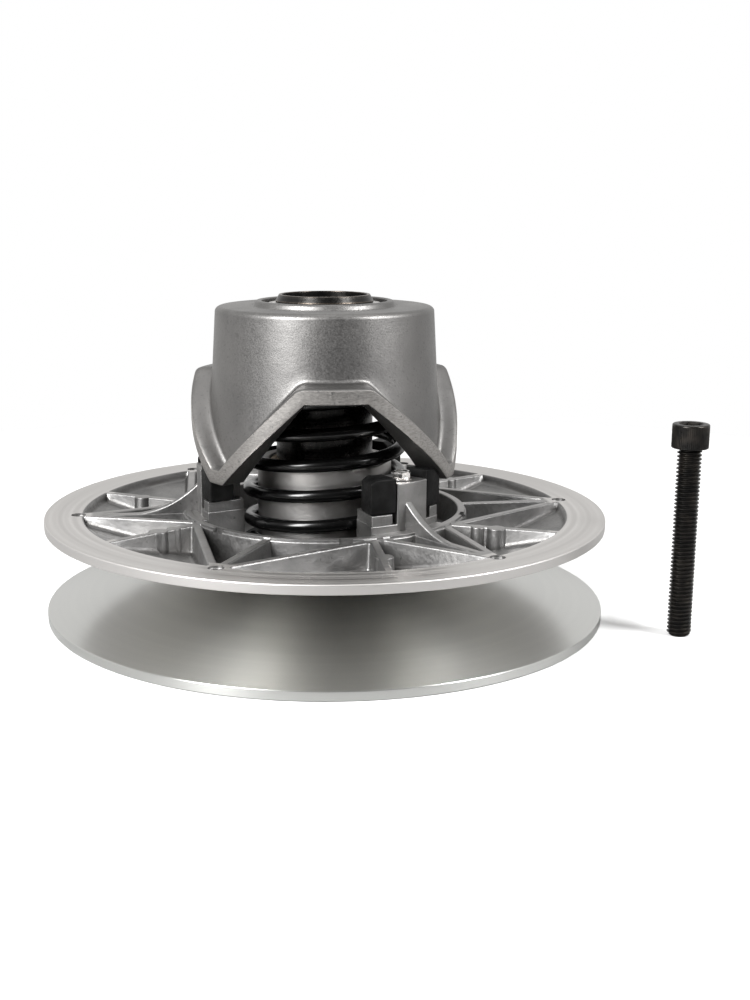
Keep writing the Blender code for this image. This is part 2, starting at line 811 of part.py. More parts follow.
def cylinder_outline(radius, low, high):
    return [(0.0, high), (radius, high), (radius, low), (0.0, low)]


def shoe_screws(parent, look):
    """Flanged hexagon screws on the towers."""
    seat = POST_TOP + GAP
    for sector in range(SECTORS):
        centre = screw_centre(sector)
        shank = cylinder_outline(SCREW_SHANK, SCREW_FOOT, seat + 0.4 * MM)
        flange = cylinder_outline(SCREW_FLANGE, seat, seat + 0.7 * MM)
        head = cylinder_outline(SCREW_HEXAGON, seat + 0.3 * MM, seat + 3.3 * MM)
        screw = turned(f"shoe_screw_{sector + 1}", shank, parent, look, 12, (centre.x, centre.y))
        combine(screw, "UNION", spun(flange, 16, (centre.x, centre.y)), f"flange_{sector + 1}")
        combine(screw, "UNION", spun(head, 6, (centre.x, centre.y)), f"hexagon_{sector + 1}")


# ---- the bolt --------------------------------------------------------------------------------------------


def clutch_bolt(parent, look):
    """Standing on its point, with its head up. The origin of its parent is on the bolt's axis."""
    top = BOLT_LENGTH + BOLT_HEAD_HEIGHT
    profile = [
        (0.0, 0.0),
        (BOLT_RADIUS - BOLT_POINT, 0.0),
        (BOLT_RADIUS, BOLT_POINT),
        (BOLT_RADIUS, BOLT_LENGTH),
        (BOLT_HEAD_RADIUS, BOLT_LENGTH),
        (BOLT_HEAD_RADIUS, top - 0.6 * MM),
        (BOLT_HEAD_RADIUS - 0.6 * MM, top),
        (0.0, top),
    ]
    bolt = turned("clutch_bolt", profile, parent, look, 24)
    across_corners = BOLT_SOCKET / math.cos(math.radians(30)) / 2
    socket = cylinder_outline(across_corners, top - BOLT_SOCKET_DEPTH, top + 5 * MM)
    combine(bolt, "DIFFERENCE", spun(socket, 6), "socket")
    return bolt


def empty(name, place):
    obj = bpy.data.objects.new(name, None)
    obj.matrix_world = Matrix.Translation(place)
    bpy.context.scene.collection.objects.link(obj)
    return obj


def build():
    clear_scene()
    cast = material("cast_aluminium", (0.52, 0.52, 0.51), 0.45, 1.0)
    machined = material("machined_aluminium", (0.78, 0.78, 0.77), 0.28, 1.0)
    blasted = material("blasted_aluminium", (0.50, 0.49, 0.48), 0.52, 1.0)
    oxide = material("black_oxide_steel", (0.045, 0.04, 0.036), 0.35, 0.9)
    bright = material("bright_steel", (0.75, 0.74, 0.72), 0.2, 1.0)
    gloss_black = material("gloss_black_steel", (0.012, 0.012, 0.012), 0.25, 0.3)
    nylon = material("black_nylon", (0.018, 0.018, 0.018), 0.6, 0.0)
    bronze = material("bushing_bronze", (0.42, 0.31, 0.18), 0.4, 1.0)

    clutch_axis = empty("clutch_axis", (axis_x(), 0.0, 0.0))
    bolt_axis = empty("bolt_axis", (axis_x() + BOLT_X, BOLT_Y, 0.0))

    fixed_sheave(clutch_axis, machined)
    hub_shaft(clutch_axis, oxide)
    hub_rivets(clutch_axis, bright)
    drive_key(clutch_axis, bright)
    cam_dome(clutch_axis, blasted)
    washer_low = RECESS_FLOOR + GAP
    washer(
        "thrust_washer",
        clutch_axis,
        oxide,
        SHAFT_RADIUS + GAP,
        THRUST_WASHER_OUTER,
        washer_low,
        THRUST_WASHER_THICKNESS,
    )
    retaining_ring(clutch_axis, bright)

    slip_low = WELL_FLOOR + GAP
    slip_inner = SLEEVE_RADIUS + GAP
    washer("slip_washer", clutch_axis, nylon, slip_inner, SLIP_WASHER_OUTER, slip_low, SEAT_THICKNESS)
    seat_low = ROOF_UNDERSIDE - GAP - SEAT_THICKNESS
    seat_inner = BOSS_RADIUS + GAP
    washer("upper_spring_seat", clutch_axis, bright, seat_inner, UPPER_SEAT_OUTER, seat_low, SEAT_THICKNESS)
    wire = SPRING_WIRE / 2 + GAP
    spring(clutch_axis, gloss_black, slip_low + SEAT_THICKNESS + wire, seat_low - wire)

    sliding_sheave(clutch_axis, cast)
    sleeve_low = upper_face(BELT_FACE_INNER)
    bushing_low = sleeve_low + 0.5 * MM
    bushing("lower_bushing", clutch_axis, bronze, bushing_low, bushing_low + BUSHING_LENGTH)
    bushing_high = SLEEVE_TOP - 0.5 * MM
    bushing("upper_bushing", clutch_axis, bronze, bushing_high - BUSHING_LENGTH, bushing_high)
    slider_shoes(clutch_axis, nylon)
    shoe_screws(clutch_axis, bright)

    clutch_bolt(bolt_axis, oxide)


build()
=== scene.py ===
"""Looks of a belt drive's driven clutch and its clutch bolt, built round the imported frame.

Shapes are made in millimetres about the clutch's axis, and placed in the frame, which is in metres.
Angles called "turn" are in degrees about that axis, counted from the front (-Y) towards +X.
"""

from math import cos, degrees, pi, radians, sin, sqrt, tan

import bmesh
import bpy
from bmesh import ops
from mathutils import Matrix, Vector


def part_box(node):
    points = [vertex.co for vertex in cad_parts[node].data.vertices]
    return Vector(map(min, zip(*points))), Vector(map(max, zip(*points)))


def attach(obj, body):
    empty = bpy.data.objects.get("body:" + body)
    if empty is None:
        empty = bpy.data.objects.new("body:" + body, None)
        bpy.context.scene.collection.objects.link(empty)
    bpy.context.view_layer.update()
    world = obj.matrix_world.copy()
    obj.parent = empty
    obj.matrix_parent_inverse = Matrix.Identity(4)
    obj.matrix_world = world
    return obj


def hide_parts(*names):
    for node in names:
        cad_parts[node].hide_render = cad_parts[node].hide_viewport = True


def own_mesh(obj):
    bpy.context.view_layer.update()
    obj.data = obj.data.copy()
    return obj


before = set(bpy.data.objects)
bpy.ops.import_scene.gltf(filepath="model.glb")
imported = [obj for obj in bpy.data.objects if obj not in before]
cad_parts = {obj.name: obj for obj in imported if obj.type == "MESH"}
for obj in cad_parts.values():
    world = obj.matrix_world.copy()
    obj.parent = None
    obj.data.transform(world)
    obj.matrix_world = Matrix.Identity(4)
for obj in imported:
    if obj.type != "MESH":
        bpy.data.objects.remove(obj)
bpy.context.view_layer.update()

MM = 0.001


def corners_of(node):
    return [Vector(corner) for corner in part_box(node)]


def middle_of(node):
    return sum(corners_of(node), Vector()) / 2


def top_of(node):
    return corners_of(node)[1].z / MM


def bottom_of(node):
    return corners_of(node)[0].z / MM


def radius_of(node):
    low, high = corners_of(node)
    return (high.y - low.y) / 2 / MM


# ---- sizes, in millimetres, from the frame where a node's box gives them ----

AXIS = middle_of("hub_shaft")
BOLT_AXIS = middle_of("clutch_bolt")
SECTORS = 3
SECTOR = 360.0 / SECTORS
GAP = 0.3

SHEAVE_RADIUS = radius_of("fixed_sheave")
RIM_THICKNESS = 3.8
RIM_GAP = 34.8
RIM_EDGE = 116.5
CONE_SLOPE = tan(radians(13.0))
BELT_FACE_INNER = 46.0
WEB_THICKNESS = 4.0
POCKET_OUTER = 101.5
UPPER_RIM = RIM_THICKNESS + RIM_GAP
TOP_PLANE = UPPER_RIM + RIM_THICKNESS
FINE = 288

SHAFT_RADIUS = 20.2
SHAFT_BORE = 15.9
SHAFT_COUNTERBORE = 17.6
COUNTERBORE_DEPTH = 22.0
SHAFT_CHAMFER = 1.4
SHAFT_CHAMFER_HEIGHT = 2.6
SHAFT_TOP = top_of("hub_shaft")
SHAFT_BOTTOM = bottom_of("hub_shaft")
FLANGE_RADIUS = radius_of("hub_shaft")
FLANGE_BOTTOM = 15.5
FLANGE_TOP = 21.8
GROOVE_BOTTOM = 127.6
GROOVE_TOP = 129.3
GROOVE_RADIUS = 19.0
RING_OUTER = 24.2
LUG_RISE = 0.9
RIVET_COUNT = 6
RIVET_CIRCLE = 32.0
RIVET_SHANK = 3.0
RIVET_HEAD = 5.0
RIVET_HEAD_HEIGHT = 2.8
RIVET_FORMED = 4.3

BACK_RECESS = 8.5
BACK_RECESS_INNER = 25.5
BACK_RECESS_OUTER = 40.5
BACK_BOSS_BOTTOM = 2.0
BACK_LAND_INNER = 43.0
BACK_POCKET_INNER = 47.0
BACK_RIBS = 12

WELL_RADIUS = 56.4
RING_RADIUS = 60.2
RING_RISE = 0.9
WELL_FLOOR = 27.5
FLOOR_EDGE = 44.0
SLEEVE_RADIUS = 28.2
SLEEVE_BORE = 23.0
SLEEVE_TOP = 64.2
SLEEVE_FACED = 29.0
RIB_WIDTH = 3.4
RIB_MEETING = 97.0
SPOT_COUNT = 6
SPOT_CIRCLE = 103.4
SPOT_RADIUS = 3.05
SPOT_DEPTH = 1.2
NOTCH_INNER = 58.1
NOTCH_OUTER = 61.0
NOTCH_HALF = 2.6

DOME_TOP = 128.2
DOME_TOP_RADIUS = 45.1
DOME_FOOT = bottom_of("cam_dome")
DOME_FOOT_RADIUS = 49.2
DOME_WALL = 4.7
ROOF_UNDERSIDE = 119.5
WINDOW_TOP = 94.5
RAIL_RADIUS = 55.7
RAIL_BAND = 5.4
DOME_CORNER = 2.5
ROOF_FILLET = 3
LIP_RADIUS = 29.0
LIP_TOP = top_of("cam_dome")
RECESS_RADIUS = 26.0
RECESS_FLOOR = 126.0
BOSS_RADIUS = 27.0
BOSS_BOTTOM = 108.0
LEG_LEFT_FOOT = -47.0
WINDOW_LEFT = -8.0
WINDOW_RIGHT = 17.5
LEG_RIGHT_FOOT = 64.0

TOWER_TURN = 38.0
TOWERS = [TOWER_TURN + SECTOR * sector for sector in range(SECTORS)]
TOWER_INNER = 37.0
TOWER_OUTER = 54.0
POST_TOP = 62.2
PAD_TOP = 50.2
SLIT_BOTTOM = 46.0
POST_SPAN = (-5.8, 11.2)
LEFT_PAD_SPAN = (-18.0, -8.0)
RIGHT_PAD_SPAN = (14.2, 20.4)
FORWARD_SHOE_SPAN = (11.7, 22.6)
REVERSE_SHOE_SPAN = (-18.4, -6.2)
SHOE_INNER = 43.0
SHOE_OUTER = 53.6
FORWARD_SHOE_TOP = 65.5
REVERSE_SHOE_TOP = 64.4
SCREW_RADIAL = 48.0
SCREW_TURN = 1.5
SCREW_HOLE = 2.2
SCREW_SHANK = 1.9
SCREW_FOOT = 50.0
SCREW_FLANGE = 4.3
SCREW_HEXAGON = 3.7
SCREW_HEIGHT = 3.3
TOWER_BASE = 26.0
BRIDGE_BOTTOM = 31.0
GUSSET_TOP = 56.0
GUSSET_BOTTOM = 36.0
GUSSET_BOTTOM_RISE = 3.4
GUSSET_FOOT_RADIUS = 88.0

SPRING_OUTER = 34.6
SPRING_WIRE = 5.4
SPRING_TURNS = 7.45
SPRING_START = -69.0
SPRING_LOW = bottom_of("spring")
SPRING_HIGH = top_of("spring")

BOLT_LENGTH = 76.2
BOLT_RADIUS = 4.76
BOLT_HEAD_RADIUS = radius_of("clutch_bolt")
BOLT_TOP = top_of("clutch_bolt")
BOLT_SOCKET = 7.94
BOLT_SOCKET_DEPTH = 4.8
THREAD_PITCH = 25.4 / 16
THREAD_DEPTH = 0.62 * THREAD_PITCH
KNURL_TEETH = 60
KNURL_DEPTH = 0.16

# In metres, and degrees from the level
FLOOR_RADIUS = 0.5
FLOOR_DROP = 0.0002
FLOOR_PALE = 0.90
FLOOR_SHADE = 0.34
CAMERA_BACK = 0.5567
CAMERA_HEIGHT = 0.1720
CAMERA_DOWN = 12.805


def lower_face(radius):
    """Height of the fixed sheave's belt face."""
    return RIM_THICKNESS + (SHEAVE_RADIUS - radius) * CONE_SLOPE


def upper_face(radius):
    """Height of the sliding sheave's belt face."""
    return UPPER_RIM - (SHEAVE_RADIUS - radius) * CONE_SLOPE


def evenly(first, last, steps):
    """Values from first to last in equal steps, both ends among them."""
    return [first + (last - first) * i / steps for i in range(steps + 1)]


def point(radius, turn, height=0.0):
    angle = radians(turn)
    return Vector((radius * sin(angle), -radius * cos(angle), height))


# ---- modelling helpers ----


def loft(sections, closed=True, capped=False):
    """Quads between neighbouring sections, each a closed loop of the same number of points."""
    bm = bmesh.new()
    rows = [[bm.verts.new(p) for p in section] for section in sections]
    following = rows[1:] + rows[:1] if closed else rows[1:]
    for a, b in zip(rows, following):
        for j in range(len(a)):
            k = (j + 1) % len(a)
            bm.faces.new((a[j], a[k], b[k], b[j]))
    if capped:
        bm.faces.new(rows[0][::-1])
        bm.faces.new(rows[-1])
    return bm


def tidied(bm):
    ops.remove_doubles(bm, verts=bm.verts, dist=1e-4)
    ops.dissolve_degenerate(bm, edges=bm.edges, dist=1e-5)
    ops.recalc_face_normals(bm, faces=bm.faces)
    return bm


def filleted(outline, steps=4, sharpest=12.0):
    """A closed outline of (x, y) or (x, y, radius) corners, each sharp one rounded to its radius."""
    made = []
    count = len(outline)
    for i, (x, y, *radius) in enumerate(outline):
        here = Vector((x, y))
        before = Vector(outline[i - 1][:2]) - here
        after = Vector(outline[(i + 1) % count][:2]) - here
        angle = before.angle(after) if before.length and after.length else pi
        if not radius or angle > radians(180 - sharpest):
            made.append(here)
            continue
        reach = min(radius[0] / tan(angle / 2), 0.48 * before.length, 0.48 * after.length)
        inward = (before.normalized() + after.normalized()).normalized()
        centre = here + inward * reach / cos(angle / 2)
        first = here + before.normalized() * reach - centre
        last = here + after.normalized() * reach - centre
        spread = first.angle(last)
        for k in range(steps + 1):
            a = sin((1 - k / steps) * spread)
            b = sin(k / steps * spread)
            made.append(centre + (first * a + last * b) / sin(spread))
    return made


def turned(profile, segments=96, centre=(0.0, 0.0), steps=4):
    """An outline of (radius, height) or (radius, height, fillet) corners turned about a vertical line."""
    outline = filleted(profile, steps)
    sections = []
    for i in range(segments):
        turn = 360.0 * i / segments
        places = (point(p.x, turn, p.y) for p in outline)
        sections.append([(p.x + centre[0], p.y + centre[1], p.z) for p in places])
    return tidied(loft(sections))


def softened(bm, width, segments=3, sharpest=30.0):
    """Every sharp edge bevelled."""
    tidied(bm)
    limit = radians(sharpest)
    edges = [e for e in bm.edges if len(e.link_faces) == 2 and e.calc_face_angle(0.0) > limit]
    ops.bevel(
        bm, geom=edges, offset=width, segments=segments, profile=0.5, affect="EDGES", clamp_overlap=True
    )
    return tidied(bm)


def polar_block(inner, outer, first, last, low, high, steps=6):
    """A block between two radii and two turns. Its top is a height, or a function of the turn."""
    sections = []
    for turn in evenly(first, last, steps):
        top = high(turn) if callable(high) else high
        corners = ((inner, low), (outer, low), (outer, top), (inner, top))
        sections.append([point(r, turn, z) for r, z in corners])
    return loft(sections, closed=False, capped=True)


def linked(name, data):
    obj = bpy.data.objects.new(name, data)
    bpy.context.scene.collection.objects.link(obj)
    return obj


def placed(name, bm):
    """An object made from a bmesh, which is freed."""
    mesh = bpy.data.meshes.new(name)
    bm.to_mesh(mesh)
    bm.free()
    return linked(name, mesh)


def merged(shapes):
    """Several bmeshes as one, each left where it is."""
    whole = bmesh.new()
    for shape in shapes:
        mesh = bpy.data.meshes.new("scratch")
        shape.to_mesh(mesh)
        shape.free()
        whole.from_mesh(mesh)
        bpy.data.meshes.remove(mesh)
    return whole


def combined(bm, operation, other):
    """The exact Boolean of two closed bmeshes."""
    target, tool = (placed("scratch", tidied(shape)) for shape in (bm, other))
    change = target.modifiers.new("combine", "BOOLEAN")
    change.operation = operation
    change.solver = "EXACT"
    change.object = tool
    evaluated = target.evaluated_get(bpy.context.evaluated_depsgraph_get())
    made = bmesh.new()
    made.from_mesh(evaluated.to_mesh())
    evaluated.to_mesh_clear()
    for obj in (target, tool):
        mesh = obj.data
        bpy.data.objects.remove(obj)
        bpy.data.meshes.remove(mesh)
    return tidied(made)


def piece(node, word, bm, look, body, slot, smooth=35.0, centre=AXIS, weighted=True):
    """A finished piece in the frame, riding its body in place of its CAD node."""
    ops.scale(bm, vec=(MM, MM, MM), verts=bm.verts)
    ops.translate(bm, vec=(centre.x, centre.y, 0.0), verts=bm.verts)
    obj = placed(f"{node}_{word}", bm)
    obj.data.materials.append(look)
    obj.data.shade_smooth()
    obj.data.set_sharp_from_angle(angle=radians(smooth))
    if weighted:
        change = obj.modifiers.new("weighted_normals", "WEIGHTED_NORMAL")
        change.keep_sharp = True
    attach(obj, body)
    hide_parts(node)
    return obj


# ---- materials ----


class Nodes:
    """Short ways to add and join the nodes of a tree."""

    def __init__(self, tree):
        self.tree = tree

    def add(self, kind, inputs=None, **settings):
        node = self.tree.nodes.new(kind)
        for key, value in settings.items():
            setattr(node, key, value)
        for key, value in (inputs or {}).items():
            self.give(node.inputs[key], value)
        return node

    def give(self, socket, value):
        if isinstance(value, bpy.types.NodeSocket):
            self.tree.links.new(value, socket)
        else:
            socket.default_value = value

    def math(self, operation, a, b=0.0):
        return self.add("ShaderNodeMath", {0: a, 1: b}, operation=operation).outputs[0]

    def times(self, a, b):
        return self.math("MULTIPLY", a, b)

    def most(self, a, b):
        return self.math("MAXIMUM", a, b)

    def span(self, value, low, high, first=0.0, last=1.0):
        """The value from low to high as a smooth step from first to last."""
        inputs = {"Value": value, "From Min": low, "From Max": high, "To Min": first, "To Max": last}
        return self.add("ShaderNodeMapRange", inputs, interpolation_type="SMOOTHSTEP").outputs["Result"]


class Look(Nodes):
    """A Principled material whose nodes can read the place, radius, height and facing of a point."""

    def __init__(self, name, metallic, centre=AXIS, **sockets):
        self.material = bpy.data.materials.new(name)
        self.material.use_nodes = True
        super().__init__(self.material.node_tree)
        self.shader = self.tree.nodes["Principled BSDF"]
        self.shader.inputs["Metallic"].default_value = metallic
        for socket, value in sockets.items():
            self.shader.inputs[socket.replace("_", " ")].default_value = value
        place = self.add("ShaderNodeTexCoord").outputs["Object"]
        moved = self.add("ShaderNodeVectorMath", {0: place, 1: (-centre.x, -centre.y, 0.0)}, operation="ADD")
        self.place = moved.outputs[0]
        split = self.add("ShaderNodeSeparateXYZ", {0: self.place})
        self.x, self.y, self.height = split.outputs
        flat = self.add("ShaderNodeCombineXYZ", {0: self.x, 1: self.y})
        length = self.add("ShaderNodeVectorMath", {0: flat.outputs[0]}, operation="LENGTH")
        self.radius = length.outputs["Value"]
        normal = self.add("ShaderNodeNewGeometry").outputs["Normal"]
        self.up = self.add("ShaderNodeSeparateXYZ", {0: normal}).outputs[2]

    def noise(self, scale, detail=3.0, stretch=None):
        vector = self.place
        if stretch:
            vector = self.add("ShaderNodeVectorMath", {0: self.place, 1: stretch}, operation="MULTIPLY")
            vector = vector.outputs[0]
        inputs = {"Vector": vector, "Scale": scale, "Detail": detail}
        return self.add("ShaderNodeTexNoise", inputs).outputs["Fac"]

    def rings(self, scale, value=None, detail=2.0):
        """Noise that changes along one value only, by default the radius, as lathe marks do."""
        inputs = {"W": value or self.radius, "Scale": scale, "Detail": detail}
        return self.add("ShaderNodeTexNoise", inputs, noise_dimensions="1D").outputs["Fac"]

    def cloud(self, scale, first, last):
        """Soft noise between two values."""
        return self.span(self.noise(scale), 0.2, 0.8, first, last)

    def mix(self, share, a, b, kind="RGBA"):
        """Two colours, numbers or vectors mixed."""
        first, result = {"FLOAT": (2, 0), "VECTOR": (4, 1), "RGBA": (6, 2)}[kind]
        node = self.add("ShaderNodeMix", {}, data_type=kind)
        for index, value in ((0, share), (first, a), (first + 1, b)):
            self.give(node.inputs[index], value)
        return node.outputs[result]

    def shades(self, value, a, b):
        """Two colours mixed by the middle of a noise's range."""
        return self.mix(self.span(value, 0.3, 0.7), a, b)

    def bump(self, height, distance, strength=1.0, normal=None):
        inputs = {"Height": height, "Distance": distance, "Strength": strength}
        if normal:
            inputs["Normal"] = normal
        return self.add("ShaderNodeBump", inputs).outputs["Normal"]

    def finish(self, color, roughness, normal=None):
        self.give(self.shader.inputs["Base Color"], color)
        self.give(self.shader.inputs["Roughness"], roughness)
        if normal:
            self.give(self.shader.inputs["Normal"], normal)
        return self.material


def grey(value, warmth=0.0):
    return (value * (1 + warmth), value, value * (1 - warmth), 1.0)


def plain_look(name, metallic, blotches, colors, rough, grain, centre=AXIS, **sockets):
    """Two colours in blotches, uneven roughness and a fine bump."""
    look = Look(name, metallic, centre, **sockets)
    scale, detail, low, high = blotches
    color = look.mix(look.span(look.noise(scale, detail), low, high), *colors)
    scale, detail, distance, strength = grain
    normal = look.bump(look.noise(scale, detail), distance, strength)
    return look.finish(color, look.cloud(*rough), normal)


def cast_look():
    """Cast aluminium in the pockets, with faced flats on the rim and the rib tops, and painted shade low on
    the pocket walls.
    """
    look = Look("cast_aluminium_sheave", 1.0)
    flat = look.times(
        look.span(look.up, 0.96, 0.995),
        look.span(look.height, (TOP_PLANE - 0.12) * MM, (TOP_PLANE - 0.04) * MM),
    )
    rim = look.span(look.radius, RIB_MEETING * MM, (RIB_MEETING + 2) * MM, 0.3, 1.0)
    edge = look.span(look.radius, RIM_EDGE * MM, (RIM_EDGE + 0.5) * MM)
    sleeve = look.span(look.radius, (SLEEVE_FACED + 1) * MM, SLEEVE_FACED * MM, 0.0, 0.5)
    faced = look.most(look.most(look.times(flat, rim), edge), sleeve)
    faced = look.most(faced, look.span(look.up, -0.5, -0.8))
    cloud = look.noise(60.0, 4.0)
    fine = look.noise(900.0, 3.0)
    lathe = look.rings(500.0)
    cast = look.shades(cloud, grey(0.20, 0.01), grey(0.28, 0.015))
    machined = look.shades(lathe, grey(0.56, 0.03), grey(0.60, 0.025))
    pits = look.span(look.noise(420.0, 2.0), 0.70, 0.76)
    cast = look.mix(look.times(pits, 0.6), cast, grey(0.10))
    # Painted shade: the pocket walls are darkened in a band just above the pocket floor, where shade falls
    # in the corners, broken up by noise.
    above = look.math("SUBTRACT", look.height, look.times(look.radius, CONE_SLOPE))
    floor = UPPER_RIM + WEB_THICKNESS - SHEAVE_RADIUS * CONE_SLOPE
    corner = look.times(
        look.span(above, (floor + 0.1) * MM, (floor + 0.6) * MM),
        look.span(above, (floor + 2.6) * MM, (floor + 0.9) * MM),
    )
    corner_shade = look.times(corner, look.span(cloud, 0.25, 0.6, 0.25, 0.8))
    cast = look.mix(corner_shade, cast, grey(0.075, 0.04))
    rough_cast = look.span(fine, 0.2, 0.8, 0.38, 0.54)
    rough_faced = look.span(lathe, 0.2, 0.8, 0.34, 0.48)
    waves = look.bump(look.noise(130.0, 2.0), 0.0008, 0.5)
    grain = look.bump(fine, 0.00012, 0.55, waves)
    marks = look.bump(fine, 0.00004, 0.4)
    rough = look.mix(faced, rough_cast, rough_faced, "FLOAT")
    return look.finish(look.mix(faced, cast, machined), rough, look.mix(faced, grain, marks, "VECTOR"))


def machined_look():
    """A belt face turned on a lathe: fine rings that spread light across them. The back is duller."""
    look = Look("machined_aluminium_sheave", 1.0, Anisotropic=0.78, Anisotropic_Rotation=0.25)
    broad = look.rings(180.0)
    haze = look.noise(14.0, 3.0)
    color = look.shades(broad, (0.668, 0.672, 0.653, 1.0), (0.688, 0.692, 0.671, 1.0))
    below = look.span(look.up, -0.2, -0.5)
    pits = look.span(look.noise(500.0, 2.0), 0.68, 0.75)
    color = look.mix(look.times(below, look.times(pits, 0.5)), color, grey(0.2))
    turned_rough = look.span(broad, 0.3, 0.7, 0.275, 0.285)
    rough = look.math("ADD", turned_rough, look.span(haze, 0.3, 0.7, 0.0, 0.02))
    rough = look.math("ADD", rough, look.times(below, 0.1))
    tangent = look.add("ShaderNodeTangent", direction_type="RADIAL", axis="Z").outputs[0]
    look.give(look.shader.inputs["Tangent"], tangent)
    return look.finish(color, rough, look.bump(look.times(below, look.noise(800.0)), 0.0001, 0.5))


def blasted_look():
    """Blasted cast aluminium, with the cam's outer band ground bright."""
    look = Look("blasted_aluminium_cam", 1.0)
    band = look.span(look.radius, (RAIL_RADIUS - 0.35) * MM, (RAIL_RADIUS - 0.1) * MM)
    cloud = look.noise(35.0, 4.0)
    fine = look.noise(1500.0, 2.0)
    drag = look.noise(90.0, 3.0, (1.0, 1.0, 0.12))
    body = look.shades(cloud, grey(0.165, 0.02), grey(0.215, 0.025))
    body = look.mix(look.span(drag, 0.45, 0.75, 0.0, 0.30), body, grey(0.27, 0.02))
    stain = look.times(look.span(look.noise(120.0, 3.0), 0.66, 0.78), 0.45)
    body = look.mix(stain, body, grey(0.12, 0.03))
    speckle = look.times(look.span(look.noise(850.0, 1.0), 0.62, 0.72), 0.35)
    body = look.mix(speckle, body, grey(0.10, 0.02))
    scratches = look.noise(700.0, 2.0, (1.0, 1.0, 3.0))
    ground = look.mix(look.span(scratches, 0.35, 0.65), grey(0.27, 0.04), grey(0.36, 0.04))
    pits = look.times(look.span(look.noise(600.0, 2.0), 0.66, 0.72), band)
    color = look.mix(look.times(pits, 0.7), look.mix(band, body, ground), grey(0.16))
    waves = look.bump(cloud, 0.0012, 0.35, look.bump(fine, 0.00007, 0.5))
    return look.finish(color, look.span(fine, 0.2, 0.8, 0.37, 0.50), waves)


def oxide_look(name="black_oxide_steel", centre=AXIS, dark=0.035):
    colors = grey(dark, 0.03), grey(dark * 2.2, 0.12)
    blotches, rough, grain = (220.0, 4.0, 0.35, 0.75), (900.0, 0.26, 0.42), (1200.0, 3.0, 0.00004, 0.4)
    return plain_look(name, 0.9, blotches, colors, rough, grain, centre)


def shaft_look():
    """Black oxide steel, with brownish wear at the chamfer's foot and on the top edge."""
    look = Look("black_oxide_shaft", 0.92)
    line = look.times(
        look.span(look.height, (SHAFT_TOP - 2.9) * MM, (SHAFT_TOP - 2.6) * MM),
        look.span(look.height, (SHAFT_TOP - 2.1) * MM, (SHAFT_TOP - 2.5) * MM),
    )
    edge = look.span(look.height, (SHAFT_TOP - 0.35) * MM, (SHAFT_TOP - 0.1) * MM)
    worn = look.most(look.times(line, 0.45), look.times(edge, 0.5))
    worn = look.times(worn, look.span(look.noise(300.0, 4.0), 0.30, 0.60, 0.25, 1.0))
    color = look.shades(look.rings(1200.0, look.height), grey(0.020, 0.03), grey(0.034, 0.05))
    color = look.mix(worn, color, (0.18, 0.145, 0.115, 1.0))
    return look.finish(color, look.cloud(500.0, 0.22, 0.36), look.bump(look.noise(900.0), 0.00003, 0.3))


def steel_look():
    colors = grey(0.62, 0.03), grey(0.78, 0.035)
    blotches, rough, grain = (250.0, 3.0, 0.3, 0.7), (700.0, 0.16, 0.30), (900.0, 3.0, 0.00003, 0.4)
    return plain_look("bright_steel", 1.0, blotches, colors, rough, grain)


def spring_look():
    """Gloss black paint over wire, with a slight orange peel."""
    blotches, rough, grain = (500.0, 4.0, 0.55, 0.8), (200.0, 0.20, 0.28), (250.0, 1.0, 0.00004, 0.3)
    gloss = {"Specular_IOR_Level": 0.3, "Coat_Weight": 0.25, "Coat_Roughness": 0.12}
    return plain_look("gloss_black_spring", 0.0, blotches, (grey(0.002), grey(0.005)), rough, grain, **gloss)


def nylon_look():
    blotches, rough, grain = (180.0, 3.0, 0.3, 0.7), (800.0, 0.40, 0.58), (1600.0, 3.0, 0.00006, 0.4)
    gloss = {"Specular_IOR_Level": 0.10}
    return plain_look("black_nylon", 0.0, blotches, (grey(0.003), grey(0.008)), rough, grain, **gloss)


def bronze_look():
    look = Look("bushing_bronze", 1.0)
    marks = look.rings(1500.0, look.height)
    color = look.shades(marks, (0.36, 0.25, 0.13, 1.0), (0.50, 0.37, 0.21, 1.0))
    return look.finish(color, look.cloud(500.0, 0.32, 0.46), look.bump(marks, 0.00003, 0.5))


# ---- the cam dome ----


def window_edge(turn):
    """Height of the dome's lower edge: three V windows between three legs."""
    local = (turn - LEG_LEFT_FOOT) % SECTOR + LEG_LEFT_FOOT
    rise = WINDOW_TOP - DOME_FOOT
    if local < WINDOW_LEFT:
        return DOME_FOOT + rise * (local - LEG_LEFT_FOOT) / (WINDOW_LEFT - LEG_LEFT_FOOT)
    if local < WINDOW_RIGHT:
        return WINDOW_TOP
    if local < LEG_RIGHT_FOOT:
        return WINDOW_TOP - rise * (local - WINDOW_RIGHT) / (LEG_RIGHT_FOOT - WINDOW_RIGHT)
    return DOME_FOOT


def parallel_edge(turn, distance):
    """Height of the curve that runs a distance above the window edge, measured square to it."""
    steps = 24
    best = 0.0
    for i in range(-steps, steps + 1):
        along = distance * i / steps
        other = turn + degrees(along / RAIL_RADIUS)
        best = max(best, window_edge(other) + sqrt(max(0.0, distance**2 - along**2)))
    return best


def dome_radius(height):
    share = (height - DOME_FOOT) / (DOME_TOP - DOME_FOOT)
    return DOME_FOOT_RADIUS + (DOME_TOP_RADIUS - DOME_FOOT_RADIUS) * share


